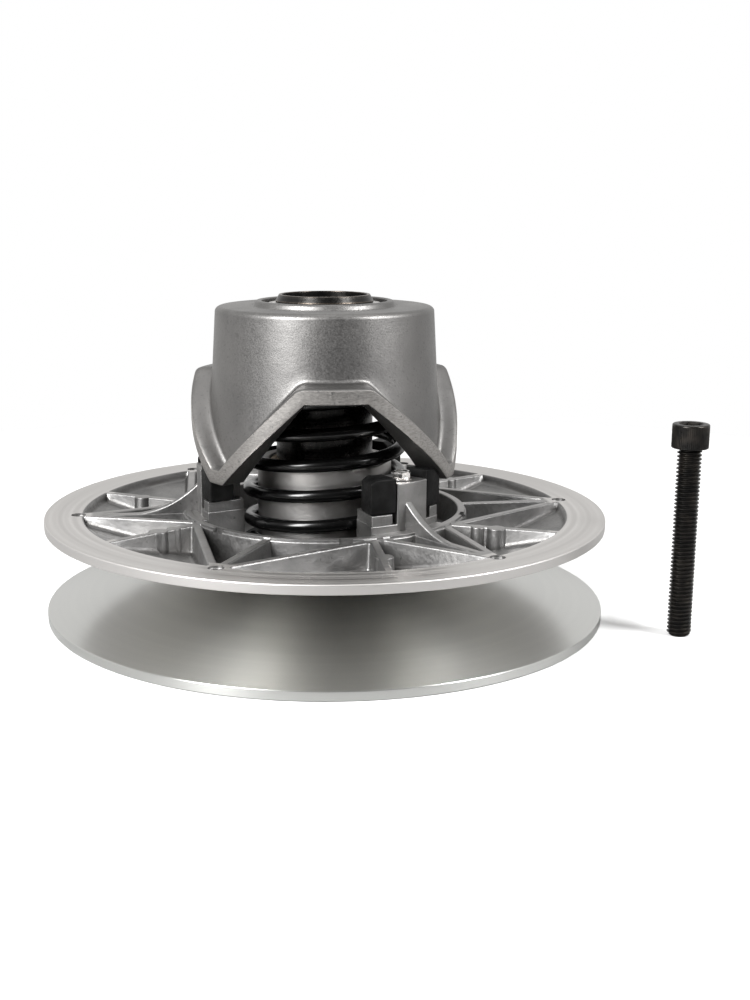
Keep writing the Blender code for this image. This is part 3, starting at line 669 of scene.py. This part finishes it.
def dome_section(turn):
    """The dome's closed (radius, height) outline at one turn. Each has the same number of points."""
    foot = window_edge(turn)
    outline = [
        (RAIL_RADIUS - 0.9, foot), (RAIL_RADIUS - 0.28, foot + 0.2),
        (RAIL_RADIUS, parallel_edge(turn, 0.9)),
        (RAIL_RADIUS, parallel_edge(turn, RAIL_BAND * 0.5)),
        (RAIL_RADIUS, parallel_edge(turn, RAIL_BAND)),
    ]
    shoulder = ((0.30, 0.35), (0.9, 0.75), (2.0, 1.05), (3.6, 1.25), (5.2, 1.4))
    for inward, above in shoulder:
        outline.append((RAIL_RADIUS - inward, parallel_edge(turn, RAIL_BAND + above)))
    for proud, above in ((1.1, 1.8), (0.35, 2.4), (0.0, 3.4)):
        height = parallel_edge(turn, RAIL_BAND + above)
        outline.append((dome_radius(height) + proud, height))
    start = outline[-1][1]
    end = DOME_TOP - DOME_CORNER
    outline += [(dome_radius(height), height) for height in evenly(start, end, 6)[1:]]
    arc_steps = 7
    for i in range(1, arc_steps + 1):
        angle = radians(90.0 * i / arc_steps)
        inward = DOME_CORNER * (1 - cos(angle))
        outline.append((dome_radius(end) - inward, end + (DOME_CORNER - 0.25) * sin(angle)))
    outline += [
        (LIP_RADIUS + 7.0, DOME_TOP - 0.05), (LIP_RADIUS + 1.6, DOME_TOP),
        (LIP_RADIUS + 0.9, DOME_TOP - 0.25), (LIP_RADIUS + 0.35, DOME_TOP - 0.15),
        (LIP_RADIUS, DOME_TOP + 0.35), (LIP_RADIUS - 0.15, LIP_TOP - 0.8),
        (LIP_RADIUS - 0.55, LIP_TOP - 0.25), (LIP_RADIUS - 1.2, LIP_TOP),
        (RECESS_RADIUS + 0.5, LIP_TOP), (RECESS_RADIUS, LIP_TOP - 0.4),
        (RECESS_RADIUS, RECESS_FLOOR), (SHAFT_RADIUS + GAP, RECESS_FLOOR),
        (SHAFT_RADIUS + GAP, BOSS_BOTTOM), (BOSS_RADIUS - 0.6, BOSS_BOTTOM),
        (BOSS_RADIUS, BOSS_BOTTOM + 0.6), (BOSS_RADIUS, ROOF_UNDERSIDE),
    ]
    wall = dome_radius(ROOF_UNDERSIDE) - DOME_WALL
    for i in range(6):
        angle = radians(18.0 * i)
        inward, down = (ROOF_FILLET * (1 - f(angle)) for f in (sin, cos))
        outline.append((wall - inward, ROOF_UNDERSIDE - down))
    top = ROOF_UNDERSIDE - ROOF_FILLET
    outline += [(dome_radius(height) - DOME_WALL, height) for height in evenly(top, foot, 4)[1:]]
    return outline


def dome_turns(per_degree=1.1):
    """Turns for the sections: every corner of a window, and even steps between."""
    corners = (LEG_LEFT_FOOT, WINDOW_LEFT, WINDOW_RIGHT, LEG_RIGHT_FOOT, LEG_LEFT_FOOT + SECTOR)
    turns = []
    for sector in range(SECTORS):
        for first, last in zip(corners, corners[1:]):
            count = round((last - first) * per_degree)
            turns += [first + SECTOR * sector + (last - first) * i / count for i in range(count)]
    return turns


def cam_dome(look):
    sections = [[point(r, t, z) for r, z in dome_section(t)] for t in dome_turns()]
    piece("cam_dome", "cover", tidied(loft(sections)), look, "fixed", "blasted_aluminium", 38.0)


# ---- sheaves ----


def clipped(outline, start, end, margin):
    """The part of an outline right of the line from start to end, kept margin away from it."""
    direction = (end - start).normalized()
    normal = Vector((direction.y, -direction.x))
    kept = []
    for a, b in zip(outline, outline[1:] + outline[:1]):
        da = (a - start).dot(normal) - margin
        db = (b - start).dot(normal) - margin
        if da >= 0:
            kept.append(a)
        if da * db < 0:
            kept.append(a.lerp(b, da / (da - db)))
    return kept


def arc_sector(inner, outer, first, last, step=2.0):
    """An annular sector's outline, anticlockwise seen from above."""
    turns = evenly(first, last, max(1, round((last - first) / step)))
    outside = [point(outer, t).xy for t in turns]
    inside = [point(inner, t).xy for t in reversed(turns)]
    return outside + inside


class Pocket:
    """A cast pocket between ribs, with rounded corners, drafted walls and a filleted floor."""

    def __init__(self, inner, outer, first, last, sides):
        self.inner, self.outer, self.first, self.last, self.sides = inner, outer, first, last, sides

    def outline(self, inset, corner=3.4):
        shape = arc_sector(self.inner + inset, self.outer - inset, self.first, self.last)
        for start, end in self.sides:
            shape = clipped(shape, start, end, RIB_WIDTH / 2 + inset)
            if len(shape) < 3:
                return None
        shape = [a for a, b in zip(shape, shape[1:] + shape[:1]) if (a - b).length > 0.05]
        rounded = []
        for i, here in enumerate(shape):
            before = shape[i - 1] - here
            after = shape[(i + 1) % len(shape)] - here
            half = sin(before.angle(after) / 2)
            rounded.append((here.x, here.y, max(0.5, (corner - inset * 0.5) * half**1.4)))
        return filleted(rounded, 5, 14.0)

    def deepest(self):
        """How far in the outline can go before too little is left of it."""
        inset = 0.0
        while inset < 4.0:
            shape = self.outline(inset + 0.6)
            if shape is None or area_of(shape) <= 4:
                break
            inset += 0.2
        return inset

    def loops(self, top, floor):
        """Nested loops down the wall: (outline, height function)."""
        radius = min(2.4, max(0.6, self.deepest() - 0.8))
        edge = 0.65
        made = [(self.outline(-edge - 0.03), lambda r: top + 1.0)]
        for i in range(4):
            angle = radians(90.0 * i / 3)
            drop = edge * (1 - cos(angle))
            made.append((self.outline(-edge * (1 - sin(angle))), lambda r, drop=drop: top - drop))
        draft = 0.35
        for i in range(5):
            angle = radians(22.5 * i)
            inset = draft + radius * (1 - cos(angle))

            def height(r, angle=angle):
                reach = min(radius, 0.6 * (top - edge - floor(r)))
                return floor(r) + reach * (1 - sin(angle))

            made.append((self.outline(inset), height))
        return made

    def cutter(self, top, floor):
        """A solid that cuts the pocket down from a top plane to a floor, its height by radius."""
        loops = self.loops(top, floor)
        last = loops[-1][0]
        centre = sum(last, Vector((0.0, 0.0))) / len(last)
        rim = resampled(loops[0][0], 1.1)
        rows = []
        for outline, height in loops:
            hits = [ray_hit(centre, p - centre, outline) for p in rim]
            rows.append([(p.x, p.y, height(p.length)) for p in hits])
        inner = [Vector(p[:2]) for p in rows[-1]]
        for share in (0.7, 0.4, 0.15):
            ring = [centre.lerp(p, share) for p in inner]
            rows.append([(p.x, p.y, floor(p.length)) for p in ring])
        return loft(rows, closed=False, capped=True)


def area_of(outline):
    return abs(sum(a.cross(b) for a, b in zip(outline, outline[1:] + outline[:1]))) / 2


def resampled(outline, spacing):
    """Points at even spacing along a closed outline, its own sharp corners kept."""
    points = []
    for a, b in zip(outline, outline[1:] + outline[:1]):
        pieces = max(1, round((b - a).length / spacing))
        points += [a.lerp(b, i / pieces) for i in range(pieces)]
    kept = [points[0]]
    for p in points[1:]:
        if (p - kept[-1]).length > 0.35 and (p - points[0]).length > 0.2:
            kept.append(p)
    return kept


def ray_hit(centre, direction, outline):
    """Where a ray from the centre leaves an outline."""
    best = None
    for a, b in zip(outline, outline[1:] + outline[:1]):
        side = b - a
        base = direction.cross(side)
        if abs(base) < 1e-12:
            continue
        along = (a - centre).cross(side) / base
        across = (a - centre).cross(direction) / base
        if along > 0 and -1e-6 <= across <= 1 + 1e-6 and (best is None or along < best):
            best = along
    return centre + direction * best


def rib_pockets():
    """The eight pockets of each third of the sliding sheave."""
    inner = RING_RADIUS
    pockets = []
    for tower in TOWERS:
        before = tower - SECTOR / 2
        after = tower + SECTOR / 2

        def rib(turn_in, turn_out, radius_out=RIB_MEETING):
            return point(inner, turn_in).xy, point(radius_out, turn_out).xy

        gusset = rib(tower, tower)
        left_diagonal = rib(tower - 14, tower - 1.5)
        right_diagonal = rib(tower + 17, tower + 1.5)
        left_spoke = rib(tower - 19.5, tower - 25, POCKET_OUTER)
        right_spoke = rib(tower + 22, tower + 27, POCKET_OUTER)
        before_radial = rib(before, before)
        before_right = rib(tower - 21, before + 3)
        after_left = rib(tower + 23, after - 3)
        after_radial = rib(after, after)

        def pocket(first, last, left, right, outer=POCKET_OUTER):
            pockets.append(Pocket(inner, outer, first, last, (left, right[::-1])))

        pocket(tower - 20, tower, gusset, left_diagonal, RIB_MEETING)
        pocket(tower, tower + 22, right_diagonal, gusset, RIB_MEETING)
        pocket(tower - 32, tower, left_diagonal, left_spoke)
        pocket(tower, tower + 34, right_spoke, right_diagonal)
        pocket(before, tower - 18, left_spoke, before_right)
        pocket(tower + 20, after, after_left, right_spoke)
        pocket(before - 2, tower - 16, before_right, before_radial, RIB_MEETING)
        pocket(tower + 18, after + 2, after_radial, after_left, RIB_MEETING)
    return pockets


def column(radius, turn, wide, low, high):
    """A rounded boss that stands against a rib."""
    centre = point(radius, turn)
    profile = [(0.0, high), (wide, high, 0.5), (wide + 0.35, low), (0.0, low)]
    return turned(profile, 20, centre.xy, 2)


def tower_shape(turn):
    """A post with a pad either side, the material that joins them to the ring, and a curved gusset."""
    left_foot = turn + LEFT_PAD_SPAN[0]
    right_foot = turn + RIGHT_PAD_SPAN[1]
    post = (TOWER_INNER, TOWER_OUTER, turn + POST_SPAN[0], turn + POST_SPAN[1], TOWER_BASE, POST_TOP)
    plinth = (TOWER_INNER + 0.5, TOWER_OUTER - 0.2, left_foot, right_foot, TOWER_BASE + 0.5, SLIT_BOTTOM, 10)
    left, right = (
        (TOWER_INNER + 0.7, TOWER_OUTER - 0.4, first, last, SLIT_BOTTOM - 2, PAD_TOP)
        for first, last in (
            (left_foot + 0.2, turn + LEFT_PAD_SPAN[1]),
            (turn + RIGHT_PAD_SPAN[0], right_foot - 0.2),
        )
    )
    bridge = (TOWER_OUTER - 1.5, RING_RADIUS - 1.2, left_foot + 0.5, right_foot - 0.5)
    bridge += (BRIDGE_BOTTOM, TOP_PLANE + 0.6, 10)
    shape = softened(polar_block(*plinth), 0.4)
    for block, edge in ((post, 0.45), (left, 0.35), (right, 0.35), (bridge, 0.5)):
        shape = combined(shape, "UNION", softened(polar_block(*block), edge))
    return combined(shape, "UNION", gusset(turn))


def gusset(turn):
    """A rib with a hollow curved edge, from high on the post's outer face down to the rim."""
    start = TOWER_OUTER - 1.3
    half = RIB_WIDTH / 2 - 0.1
    aside = point(1.0, turn + 90)
    steps = 24
    sections = []
    for i in range(steps + 1):
        share = i / steps
        radius = start + (GUSSET_FOOT_RADIUS - start) * share
        high = TOP_PLANE - 0.4 + (GUSSET_TOP - TOP_PLANE) * (1 - share) ** 2.6
        low = GUSSET_BOTTOM + GUSSET_BOTTOM_RISE * share
        outline = filleted(((-half, low), (half, low), (half, high, 0.9), (-half, high, 0.9)))
        sections.append([point(radius, turn, p.y) + aside * p.x for p in outline])
    return loft(sections, closed=False, capped=True)


def screw_centre(tower):
    return point(SCREW_RADIAL, tower + SCREW_TURN).xy


def sheave_holes():
    """Screw holes in the posts, notches in the inner ring, and shallow spots on the rim."""
    holes = []
    for tower in TOWERS:
        low, high = SCREW_FOOT - 1, 75
        profile = [(0.0, high), (SCREW_HOLE, high), (SCREW_HOLE, low), (0.0, low)]
        holes.append(turned(profile, 20, screw_centre(tower)))
        for turn in (tower - 30, tower + 37):
            span = (turn - NOTCH_HALF, turn + NOTCH_HALF)
            holes.append(polar_block(NOTCH_INNER, NOTCH_OUTER, *span, TOP_PLANE - 1.0, TOP_PLANE + 3, 4))
    for i in range(SPOT_COUNT):
        centre = point(SPOT_CIRCLE, TOWER_TURN + 360.0 / SPOT_COUNT * i)
        low, high = TOP_PLANE - SPOT_DEPTH, 50
        profile = [(0.0, high), (SPOT_RADIUS, high), (SPOT_RADIUS, low, 0.3), (0.0, low)]
        holes.append(turned(profile, 32, centre.xy))
    return holes


def rib_columns():
    """Three rounded bosses against the spokes beside each tower, by radius, turn and size."""
    columns = []
    for tower in TOWERS:
        for radius, turn, wide in ((83.0, -22.6, 3.6), (78.0, 24.2, 3.9), (70.5, 23.2, 2.9)):
            low = upper_face(radius) + 1.5
            columns.append(column(radius, tower + turn, wide, low, TOP_PLANE - 0.05))
    return columns


def sliding_sheave(look):
    bottom = upper_face(BELT_FACE_INNER)
    profile = [
        (SHEAVE_RADIUS, UPPER_RIM, 0.35), (SHEAVE_RADIUS, TOP_PLANE, 0.55),
        (RING_RADIUS - 0.2, TOP_PLANE, 0.5), (RING_RADIUS - 0.8, TOP_PLANE + RING_RISE, 0.5),
        (WELL_RADIUS, TOP_PLANE + RING_RISE, 0.6),
        (WELL_RADIUS, upper_face(WELL_RADIUS) + WEB_THICKNESS + 1, 3.0),
        (FLOOR_EDGE, WELL_FLOOR, 2.0), (SLEEVE_RADIUS, WELL_FLOOR, 1.5),
        (SLEEVE_RADIUS, SLEEVE_TOP, 0.8), (SLEEVE_BORE, SLEEVE_TOP, 0.6),
        (SLEEVE_BORE, bottom, 0.4), (BELT_FACE_INNER, bottom, 1.0),
    ]
    body = turned(profile, FINE)

    def floor(radius):
        return upper_face(radius) + WEB_THICKNESS

    body = combined(body, "DIFFERENCE", merged([p.cutter(TOP_PLANE, floor) for p in rib_pockets()]))
    body = combined(body, "UNION", merged([tower_shape(tower) for tower in TOWERS]))
    body = combined(body, "UNION", merged(rib_columns()))
    body = combined(body, "DIFFERENCE", merged(sheave_holes()))
    piece("sliding_sheave", "casting", body, look, "sliding", "cast_aluminium", 32.0)


def fixed_sheave(look):
    """Belt face on top, and a ribbed back that ends in the plane that the clutch stands on."""
    flat = FLANGE_BOTTOM - GAP
    recess = FLANGE_RADIUS + GAP
    shelf = lower_face(BELT_FACE_INNER)
    profile = [
        (SHEAVE_RADIUS, 0.0, 0.5), (SHEAVE_RADIUS, RIM_THICKNESS, 0.45),
        (BELT_FACE_INNER, shelf, 0.8), (recess, shelf, 0.4),
        (recess, flat, 0.3), (SHAFT_RADIUS + GAP, flat),
        (SHAFT_RADIUS + GAP, BACK_BOSS_BOTTOM, 0.5), (BACK_RECESS_INNER, BACK_BOSS_BOTTOM, 0.6),
        (BACK_RECESS_INNER, BACK_RECESS, 1.5), (BACK_RECESS_OUTER, BACK_RECESS, 1.5),
        (BACK_LAND_INNER, 0.0, 0.8),
    ]
    body = turned(profile, FINE)

    def depth(radius):
        return WEB_THICKNESS - lower_face(radius)

    half = 180.0 / BACK_RIBS
    centre = Vector((0.0, 0.0))
    cutters = []
    for i in range(BACK_RIBS):
        middle = 360.0 / BACK_RIBS * (i + 0.5)
        left = (point(1.0, middle - half).xy, centre)
        right = (centre, point(1.0, middle + half).xy)
        pocket = Pocket(BACK_POCKET_INNER, POCKET_OUTER, middle - half, middle + half, (left, right))
        cutter = pocket.cutter(0.0, depth)
        ops.scale(cutter, vec=(1, 1, -1), verts=cutter.verts)
        cutters.append(cutter)
    body = combined(body, "DIFFERENCE", merged(cutters))
    piece("fixed_sheave", "casting", body, look, "fixed", "machined_aluminium", 32.0)


# ---- small pieces ----


def hub_shaft(look):
    profile = [
        (SHAFT_BORE, SHAFT_BOTTOM, 0.4), (SHAFT_RADIUS - 1, SHAFT_BOTTOM, 0.2),
        (SHAFT_RADIUS, SHAFT_BOTTOM + 1, 0.2), (SHAFT_RADIUS, FLANGE_BOTTOM),
        (FLANGE_RADIUS, FLANGE_BOTTOM, 0.4), (FLANGE_RADIUS, FLANGE_TOP, 0.6),
        (SHAFT_RADIUS, FLANGE_TOP, 1.2), (SHAFT_RADIUS, GROOVE_BOTTOM),
        (GROOVE_RADIUS, GROOVE_BOTTOM, 0.15), (GROOVE_RADIUS, GROOVE_TOP, 0.15),
        (SHAFT_RADIUS, GROOVE_TOP, 0.15), (SHAFT_RADIUS, SHAFT_TOP - SHAFT_CHAMFER_HEIGHT, 0.3),
        (SHAFT_RADIUS - SHAFT_CHAMFER, SHAFT_TOP, 0.25), (SHAFT_COUNTERBORE, SHAFT_TOP, 0.3),
        (SHAFT_COUNTERBORE, SHAFT_TOP - COUNTERBORE_DEPTH, 0.3),
        (SHAFT_BORE, SHAFT_TOP - COUNTERBORE_DEPTH, 0.3),
    ]
    piece("hub_shaft", "tube", turned(profile, 128), look, "fixed", "black_oxide_steel")


def hub_rivets(look):
    """Rivets with a pan head below and a formed head on the flange."""
    head = BACK_RECESS - GAP
    profile = [
        (0.0, head - RIVET_HEAD_HEIGHT), (RIVET_HEAD - 1.4, head - 2.6, 1.2),
        (RIVET_HEAD, head - 0.8, 0.8), (RIVET_HEAD, head, 0.2),
        (RIVET_SHANK, head), (RIVET_SHANK, FLANGE_TOP),
        (RIVET_FORMED, FLANGE_TOP + 0.05, 0.2), (RIVET_FORMED - 0.9, FLANGE_TOP + 1.5, 0.9),
        (0.0, FLANGE_TOP + 1.7),
    ]
    for i in range(RIVET_COUNT):
        centre = point(RIVET_CIRCLE, 360.0 / RIVET_COUNT * (i + 0.5))
        bm = turned(profile, 24, centre.xy, 3)
        piece(f"hub_rivet_{i + 1}", "formed", bm, look, "fixed", "bright_steel")


def drive_key(look):
    """A key with soft edges, held between shaft and dome."""
    low, high = corners_of("drive_key")
    bm = bmesh.new()
    ops.create_cube(bm, size=1.0)
    ops.scale(bm, vec=(high - low) / MM, verts=bm.verts)
    middle = middle_of("drive_key") / MM
    place = (middle.x - AXIS.x / MM, middle.y - AXIS.y / MM, middle.z)
    ops.translate(bm, vec=place, verts=bm.verts)
    piece("drive_key", "block", softened(bm, 0.4), look, "fixed", "bright_steel")


def ring(node, word, look, body, slot, inner):
    """A washer or bushing in the box of its CAD node."""
    outer, low, high = radius_of(node), bottom_of(node), top_of(node)
    profile = [(r, z, 0.3) for r, z in ((inner, low), (outer, low), (outer, high), (inner, high))]
    piece(node, word, turned(profile), look, body, slot)


def retaining_ring(look):
    """An open ring in the shaft's groove, with a lug hole either side of its gap at the back."""
    low, high = bottom_of("retaining_ring"), top_of("retaining_ring")
    first, last = 186.0, 534.0
    sections = []
    for turn in evenly(first, last, 150):
        from_end = min(turn - first, last - turn)
        lug = LUG_RISE * max(0.0, 1 - (from_end / 11.0) ** 2)
        inner, outer = GROOVE_RADIUS + GAP, RING_OUTER - LUG_RISE + lug
        corners = ((inner, low, 0.25), (outer, low, 0.25), (outer, high, 0.35), (inner, high, 0.35))
        sections.append([point(p.x, turn, p.y) for p in filleted(corners, 3)])
    bm = loft(sections, closed=False, capped=True)
    for turn in (first + 4.5, last - 4.5):
        centre = point(21.9, turn)
        hole = [(0.0, high + 2), (0.75, high + 2), (0.75, low - 2), (0.0, low - 2)]
        bm = combined(bm, "DIFFERENCE", turned(hole, 16, centre.xy))
    piece("retaining_ring", "open", bm, look, "fixed", "bright_steel")


def spring_height(turns, low, high):
    """Height of the wire's centre. It leaves each seat slowly over the first part of a turn."""
    flat = 0.75
    climb = SPRING_WIRE + 0.2
    left = SPRING_TURNS - turns
    if turns < flat:
        return low + climb * turns * turns / flat
    if left < flat:
        return high - climb * left * left / flat
    middle = high - low - 2 * flat * climb
    return low + climb * flat + middle * (turns - flat) / (SPRING_TURNS - 2 * flat)


def spring(look):
    """A right-handed compression spring of round wire, its ends ground a little flat on both seats."""
    wire = SPRING_WIRE / 2
    low, high = SPRING_LOW + wire, SPRING_HIGH - wire
    radius = SPRING_OUTER - wire
    steps, sides = round(SPRING_TURNS * 72), 20
    sections = []
    for i in range(steps + 1):
        turns = SPRING_TURNS * i / steps
        turn = SPRING_START + 360.0 * turns
        height = spring_height(turns, low, high)
        loop = []
        for j in range(sides):
            angle = 2 * pi * j / sides
            z = height + wire * sin(angle)
            z = min(max(z, SPRING_LOW + 0.12), SPRING_HIGH - 0.12)
            loop.append(point(radius + wire * cos(angle), turn, z))
        sections.append(loop)
    bm = tidied(loft(sections, closed=False, capped=True))
    obj = piece("spring", "coil", bm, look, "fixed", "gloss_black_steel", 50.0, weighted=False)
    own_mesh(obj)


def ramp_height(turn, sector):
    """Underside of the window's right slope, which the forward shoe of this sector bears on."""
    start = WINDOW_RIGHT + SECTOR * sector
    fall = (WINDOW_TOP - DOME_FOOT) / (LEG_RIGHT_FOOT - WINDOW_RIGHT)
    return WINDOW_TOP - fall * (turn - start)


def slider_shoes(look):
    for sector, tower in enumerate(TOWERS):
        left = tower + REVERSE_SHOE_SPAN[0]

        def forward_top(turn):
            return min(FORWARD_SHOE_TOP, ramp_height(turn, sector) - 1.3 * GAP)

        def reverse_top(turn):
            return REVERSE_SHOE_TOP - 1.5 * max(0.0, 1 - (turn - left) / 3)

        kinds = (("forward", FORWARD_SHOE_SPAN, forward_top), ("reverse", REVERSE_SHOE_SPAN, reverse_top))
        for kind, (first, last), top in kinds:
            block = polar_block(SHOE_INNER, SHOE_OUTER, tower + first, tower + last, PAD_TOP + GAP, top, 12)
            bm = softened(block, 0.6, 4)
            piece(f"{kind}_shoe_{sector + 1}", "moulded", bm, look, "sliding", "black_nylon")


def shoe_screws(look):
    """Flanged hexagon screws on the towers, each with a dished top."""
    seat = POST_TOP + GAP
    crown = seat + SCREW_HEIGHT
    flange = [
        (0.0, seat + 1.0), (SCREW_FLANGE - 0.9, seat + 0.9, 0.2),
        (SCREW_FLANGE, seat + 0.45, 0.1), (SCREW_FLANGE, seat, 0.1),
        (SCREW_SHANK, seat), (SCREW_SHANK, SCREW_FOOT, 0.3),
        (0.0, SCREW_FOOT),
    ]
    bar = [(0.0, crown + 1), (SCREW_HEXAGON, crown + 1), (SCREW_HEXAGON, seat + 0.4), (0.0, seat + 0.4)]
    dish = [
        (0.0, crown - 0.35), (2.0, crown - 0.35, 0.2),
        (2.4, crown, 0.15), (3.1, crown, 0.2),
        (3.8, crown - 0.5), (3.8, seat - 1),
        (0.0, seat - 1),
    ]
    for sector, tower in enumerate(TOWERS):
        middle = screw_centre(tower)
        hexagon = combined(turned(bar, 6, middle), "INTERSECT", turned(dish, 36, middle, 3))
        body = combined(turned(flange, 36, middle, 3), "UNION", hexagon)
        piece(f"shoe_screw_{sector + 1}", "hexagon", body, look, "sliding", "bright_steel", 30.0)


# ---- the bolt ----


def thread(low, high, radius):
    """A helical thread as one skin: rows follow the helix, so crests and roots are clean lines."""
    around, across = 48, 8
    shape = (0.0, 0.0, 0.25, 0.62, 1.0, 1.0, 0.75, 0.38)
    count = int((high - low) / THREAD_PITCH * across) + 2 * across
    bm = bmesh.new()
    rows = []
    for m in range(-2 * across, count):
        row = []
        for i in range(around):
            z = low + THREAD_PITCH * (m / across + i / around)
            z_held = min(max(z, low), high)
            r = radius - THREAD_DEPTH * shape[m % across]
            r = min(r, radius - 1.0 + (z_held - low) * 0.8)
            angle = 2 * pi * i / around
            row.append(bm.verts.new((r * sin(angle), -r * cos(angle), z_held)))
        rows.append(row)
    for m in range(len(rows) - 1):
        for i in range(around):
            passed, k = divmod(i + 1, around)
            n = m + across * passed
            if n + 1 < len(rows):
                bm.faces.new((rows[m][i], rows[n][k], rows[n + 1][k], rows[m + 1][i]))
    return bm


def clutch_bolt(look):
    """A socket head cap screw, standing on its point. The head has a fine straight knurl."""
    head_low = BOLT_LENGTH
    screw = thread(0.0, head_low + 0.6, BOLT_RADIUS)
    ops.remove_doubles(screw, verts=screw.verts, dist=1e-5)
    ops.dissolve_degenerate(screw, edges=screw.edges, dist=1e-5)
    flat = [f for f in screw.faces if f.calc_area() < 1e-7]
    ops.delete(screw, geom=flat, context="FACES")
    open_edges = [e for e in screw.edges if e.is_boundary]
    ops.holes_fill(screw, edges=open_edges, sides=0)

    outline = filleted(
        (
            (0.0, head_low), (BOLT_HEAD_RADIUS, head_low, 0.4),
            (BOLT_HEAD_RADIUS, head_low + 0.9), (BOLT_HEAD_RADIUS, BOLT_TOP - 1.3),
            (BOLT_HEAD_RADIUS, BOLT_TOP, 0.9), (0.0, BOLT_TOP),
        )
    )
    per_tooth = 4
    count = KNURL_TEETH * per_tooth
    sections = []
    for i in range(count):
        dip = KNURL_DEPTH * (0.5 - 0.5 * cos(2 * pi * i / per_tooth))
        section = []
        for p in outline:
            knurled = head_low + 0.7 < p.y < BOLT_TOP - 1.0
            section.append(point(p.x - (dip if knurled else 0.0), 360.0 * i / count, p.y))
        sections.append(section)
    head = tidied(loft(sections))
    corner = BOLT_SOCKET / cos(radians(30)) / 2
    floor = BOLT_TOP - BOLT_SOCKET_DEPTH
    socket = [(0.0, BOLT_TOP + 5), (corner, BOLT_TOP + 5), (corner, floor)]
    socket += [(corner - 1.2, floor - 0.5), (0.0, floor - 1.6)]
    mouth = [(0.0, BOLT_TOP + 1), (corner + 1.3, BOLT_TOP + 1)]
    mouth += [(corner - 0.7, BOLT_TOP - 1), (0.0, BOLT_TOP - 1)]
    head = combined(head, "DIFFERENCE", turned(socket, 6))
    head = combined(head, "DIFFERENCE", turned(mouth, 48))
    body = combined(head, "UNION", screw)
    piece("clutch_bolt", "screw", body, look, "bolt", "black_oxide_steel", 40.0, BOLT_AXIS)


# ---- the studio ----


def room():
    """A pale floor and a bright soft room. Reflections see both darker than the camera does."""
    bm = bmesh.new()
    ops.create_circle(bm, cap_ends=True, radius=FLOOR_RADIUS, segments=96)
    floor = placed("floor", bm)
    paint = Look("floor_paint", 0.0, Specular_IOR_Level=0.1)
    seen = paint.add("ShaderNodeLightPath").outputs["Is Camera Ray"]
    floor.data.materials.append(paint.finish(paint.span(seen, 0.0, 1.0, FLOOR_SHADE, FLOOR_PALE), 0.9))
    floor.location.z = -FLOOR_DROP

    world = bpy.data.worlds.new("room")
    bpy.context.scene.world = world
    world.use_nodes = True
    world.node_tree.nodes.clear()
    nodes = Nodes(world.node_tree)
    direction = nodes.add("ShaderNodeTexCoord").outputs["Generated"]
    split = nodes.add("ShaderNodeSeparateXYZ", {0: direction})
    behind = nodes.span(split.outputs[1], -0.32, 0.0, 0.03, 0.76)
    above = nodes.span(split.outputs[2], 0.2, 0.95, 0.0, 0.10)
    soft = {"Strength": nodes.math("ADD", behind, above), "Color": (1.0, 0.995, 0.985, 1.0)}
    soft = nodes.add("ShaderNodeBackground", soft).outputs[0]
    white = {"Strength": 1.0, "Color": (1.0, 1.0, 1.0, 1.0)}
    white = nodes.add("ShaderNodeBackground", white).outputs[0]
    seen = nodes.add("ShaderNodeLightPath").outputs["Is Camera Ray"]
    shown = nodes.add("ShaderNodeMixShader", {0: seen, 1: soft, 2: white}).outputs[0]
    nodes.add("ShaderNodeOutputWorld", {0: shown})


def soft_boxes():
    """Three lamps, by azimuth, elevation, distance, width, height and power."""
    target = Vector((AXIS.x, 0.0, 0.06))
    boxes = (
        ("key_box", -41.0, 30.0, 0.95, 0.30, 0.62, 19.0),
        ("side_box", 62.0, 32.0, 0.95, 0.26, 0.60, 9.5),
        ("top_box", 180.0, 84.0, 1.15, 0.9, 0.7, 1.4),
    )
    for name, azimuth, elevation, distance, width, height, power in boxes:
        place = target + point(distance * cos(radians(elevation)), azimuth)
        place.z += distance * sin(radians(elevation))
        data = bpy.data.lights.new(name, "AREA")
        data.shape = "RECTANGLE"
        data.size, data.size_y = width, height
        data.energy = power
        lamp = linked(name, data)
        lamp.location = place
        lamp.rotation_euler = (target - place).to_track_quat("-Z", "Y").to_euler()


def camera():
    data = bpy.data.cameras.new("camera")
    data.sensor_width = 36.0
    data.lens = 48.19
    data.shift_x = 0.0505
    obj = linked("camera", data)
    obj.location = (AXIS.x, -CAMERA_BACK, CAMERA_HEIGHT)
    obj.rotation_euler = (radians(90 - CAMERA_DOWN), 0.0, 0.0)
    bpy.context.scene.camera = obj


def build():
    camera()
    room()
    soft_boxes()
    bpy.context.scene.view_settings.view_transform = "Standard"
    steel = steel_look()
    oxide = oxide_look()
    nylon = nylon_look()
    bronze = bronze_look()

    cam_dome(blasted_look())
    hub_shaft(shaft_look())
    fixed_sheave(machined_look())
    sliding_sheave(cast_look())
    hub_rivets(steel)
    drive_key(steel)
    retaining_ring(steel)
    ring("thrust_washer", "ring", oxide, "fixed", "black_oxide_steel", SHAFT_RADIUS + GAP)
    ring("upper_spring_seat", "ring", steel, "fixed", "bright_steel", BOSS_RADIUS + GAP)
    ring("slip_washer", "ring", nylon, "slip_washer", "black_nylon", SLEEVE_RADIUS + GAP)
    for name in ("lower_bushing", "upper_bushing"):
        ring(name, "sleeve", bronze, "sliding", "bushing_bronze", SHAFT_RADIUS + GAP)
    spring(spring_look())
    slider_shoes(nylon)
    shoe_screws(steel)
    clutch_bolt(oxide_look("black_oxide_bolt", BOLT_AXIS, 0.02))


build()
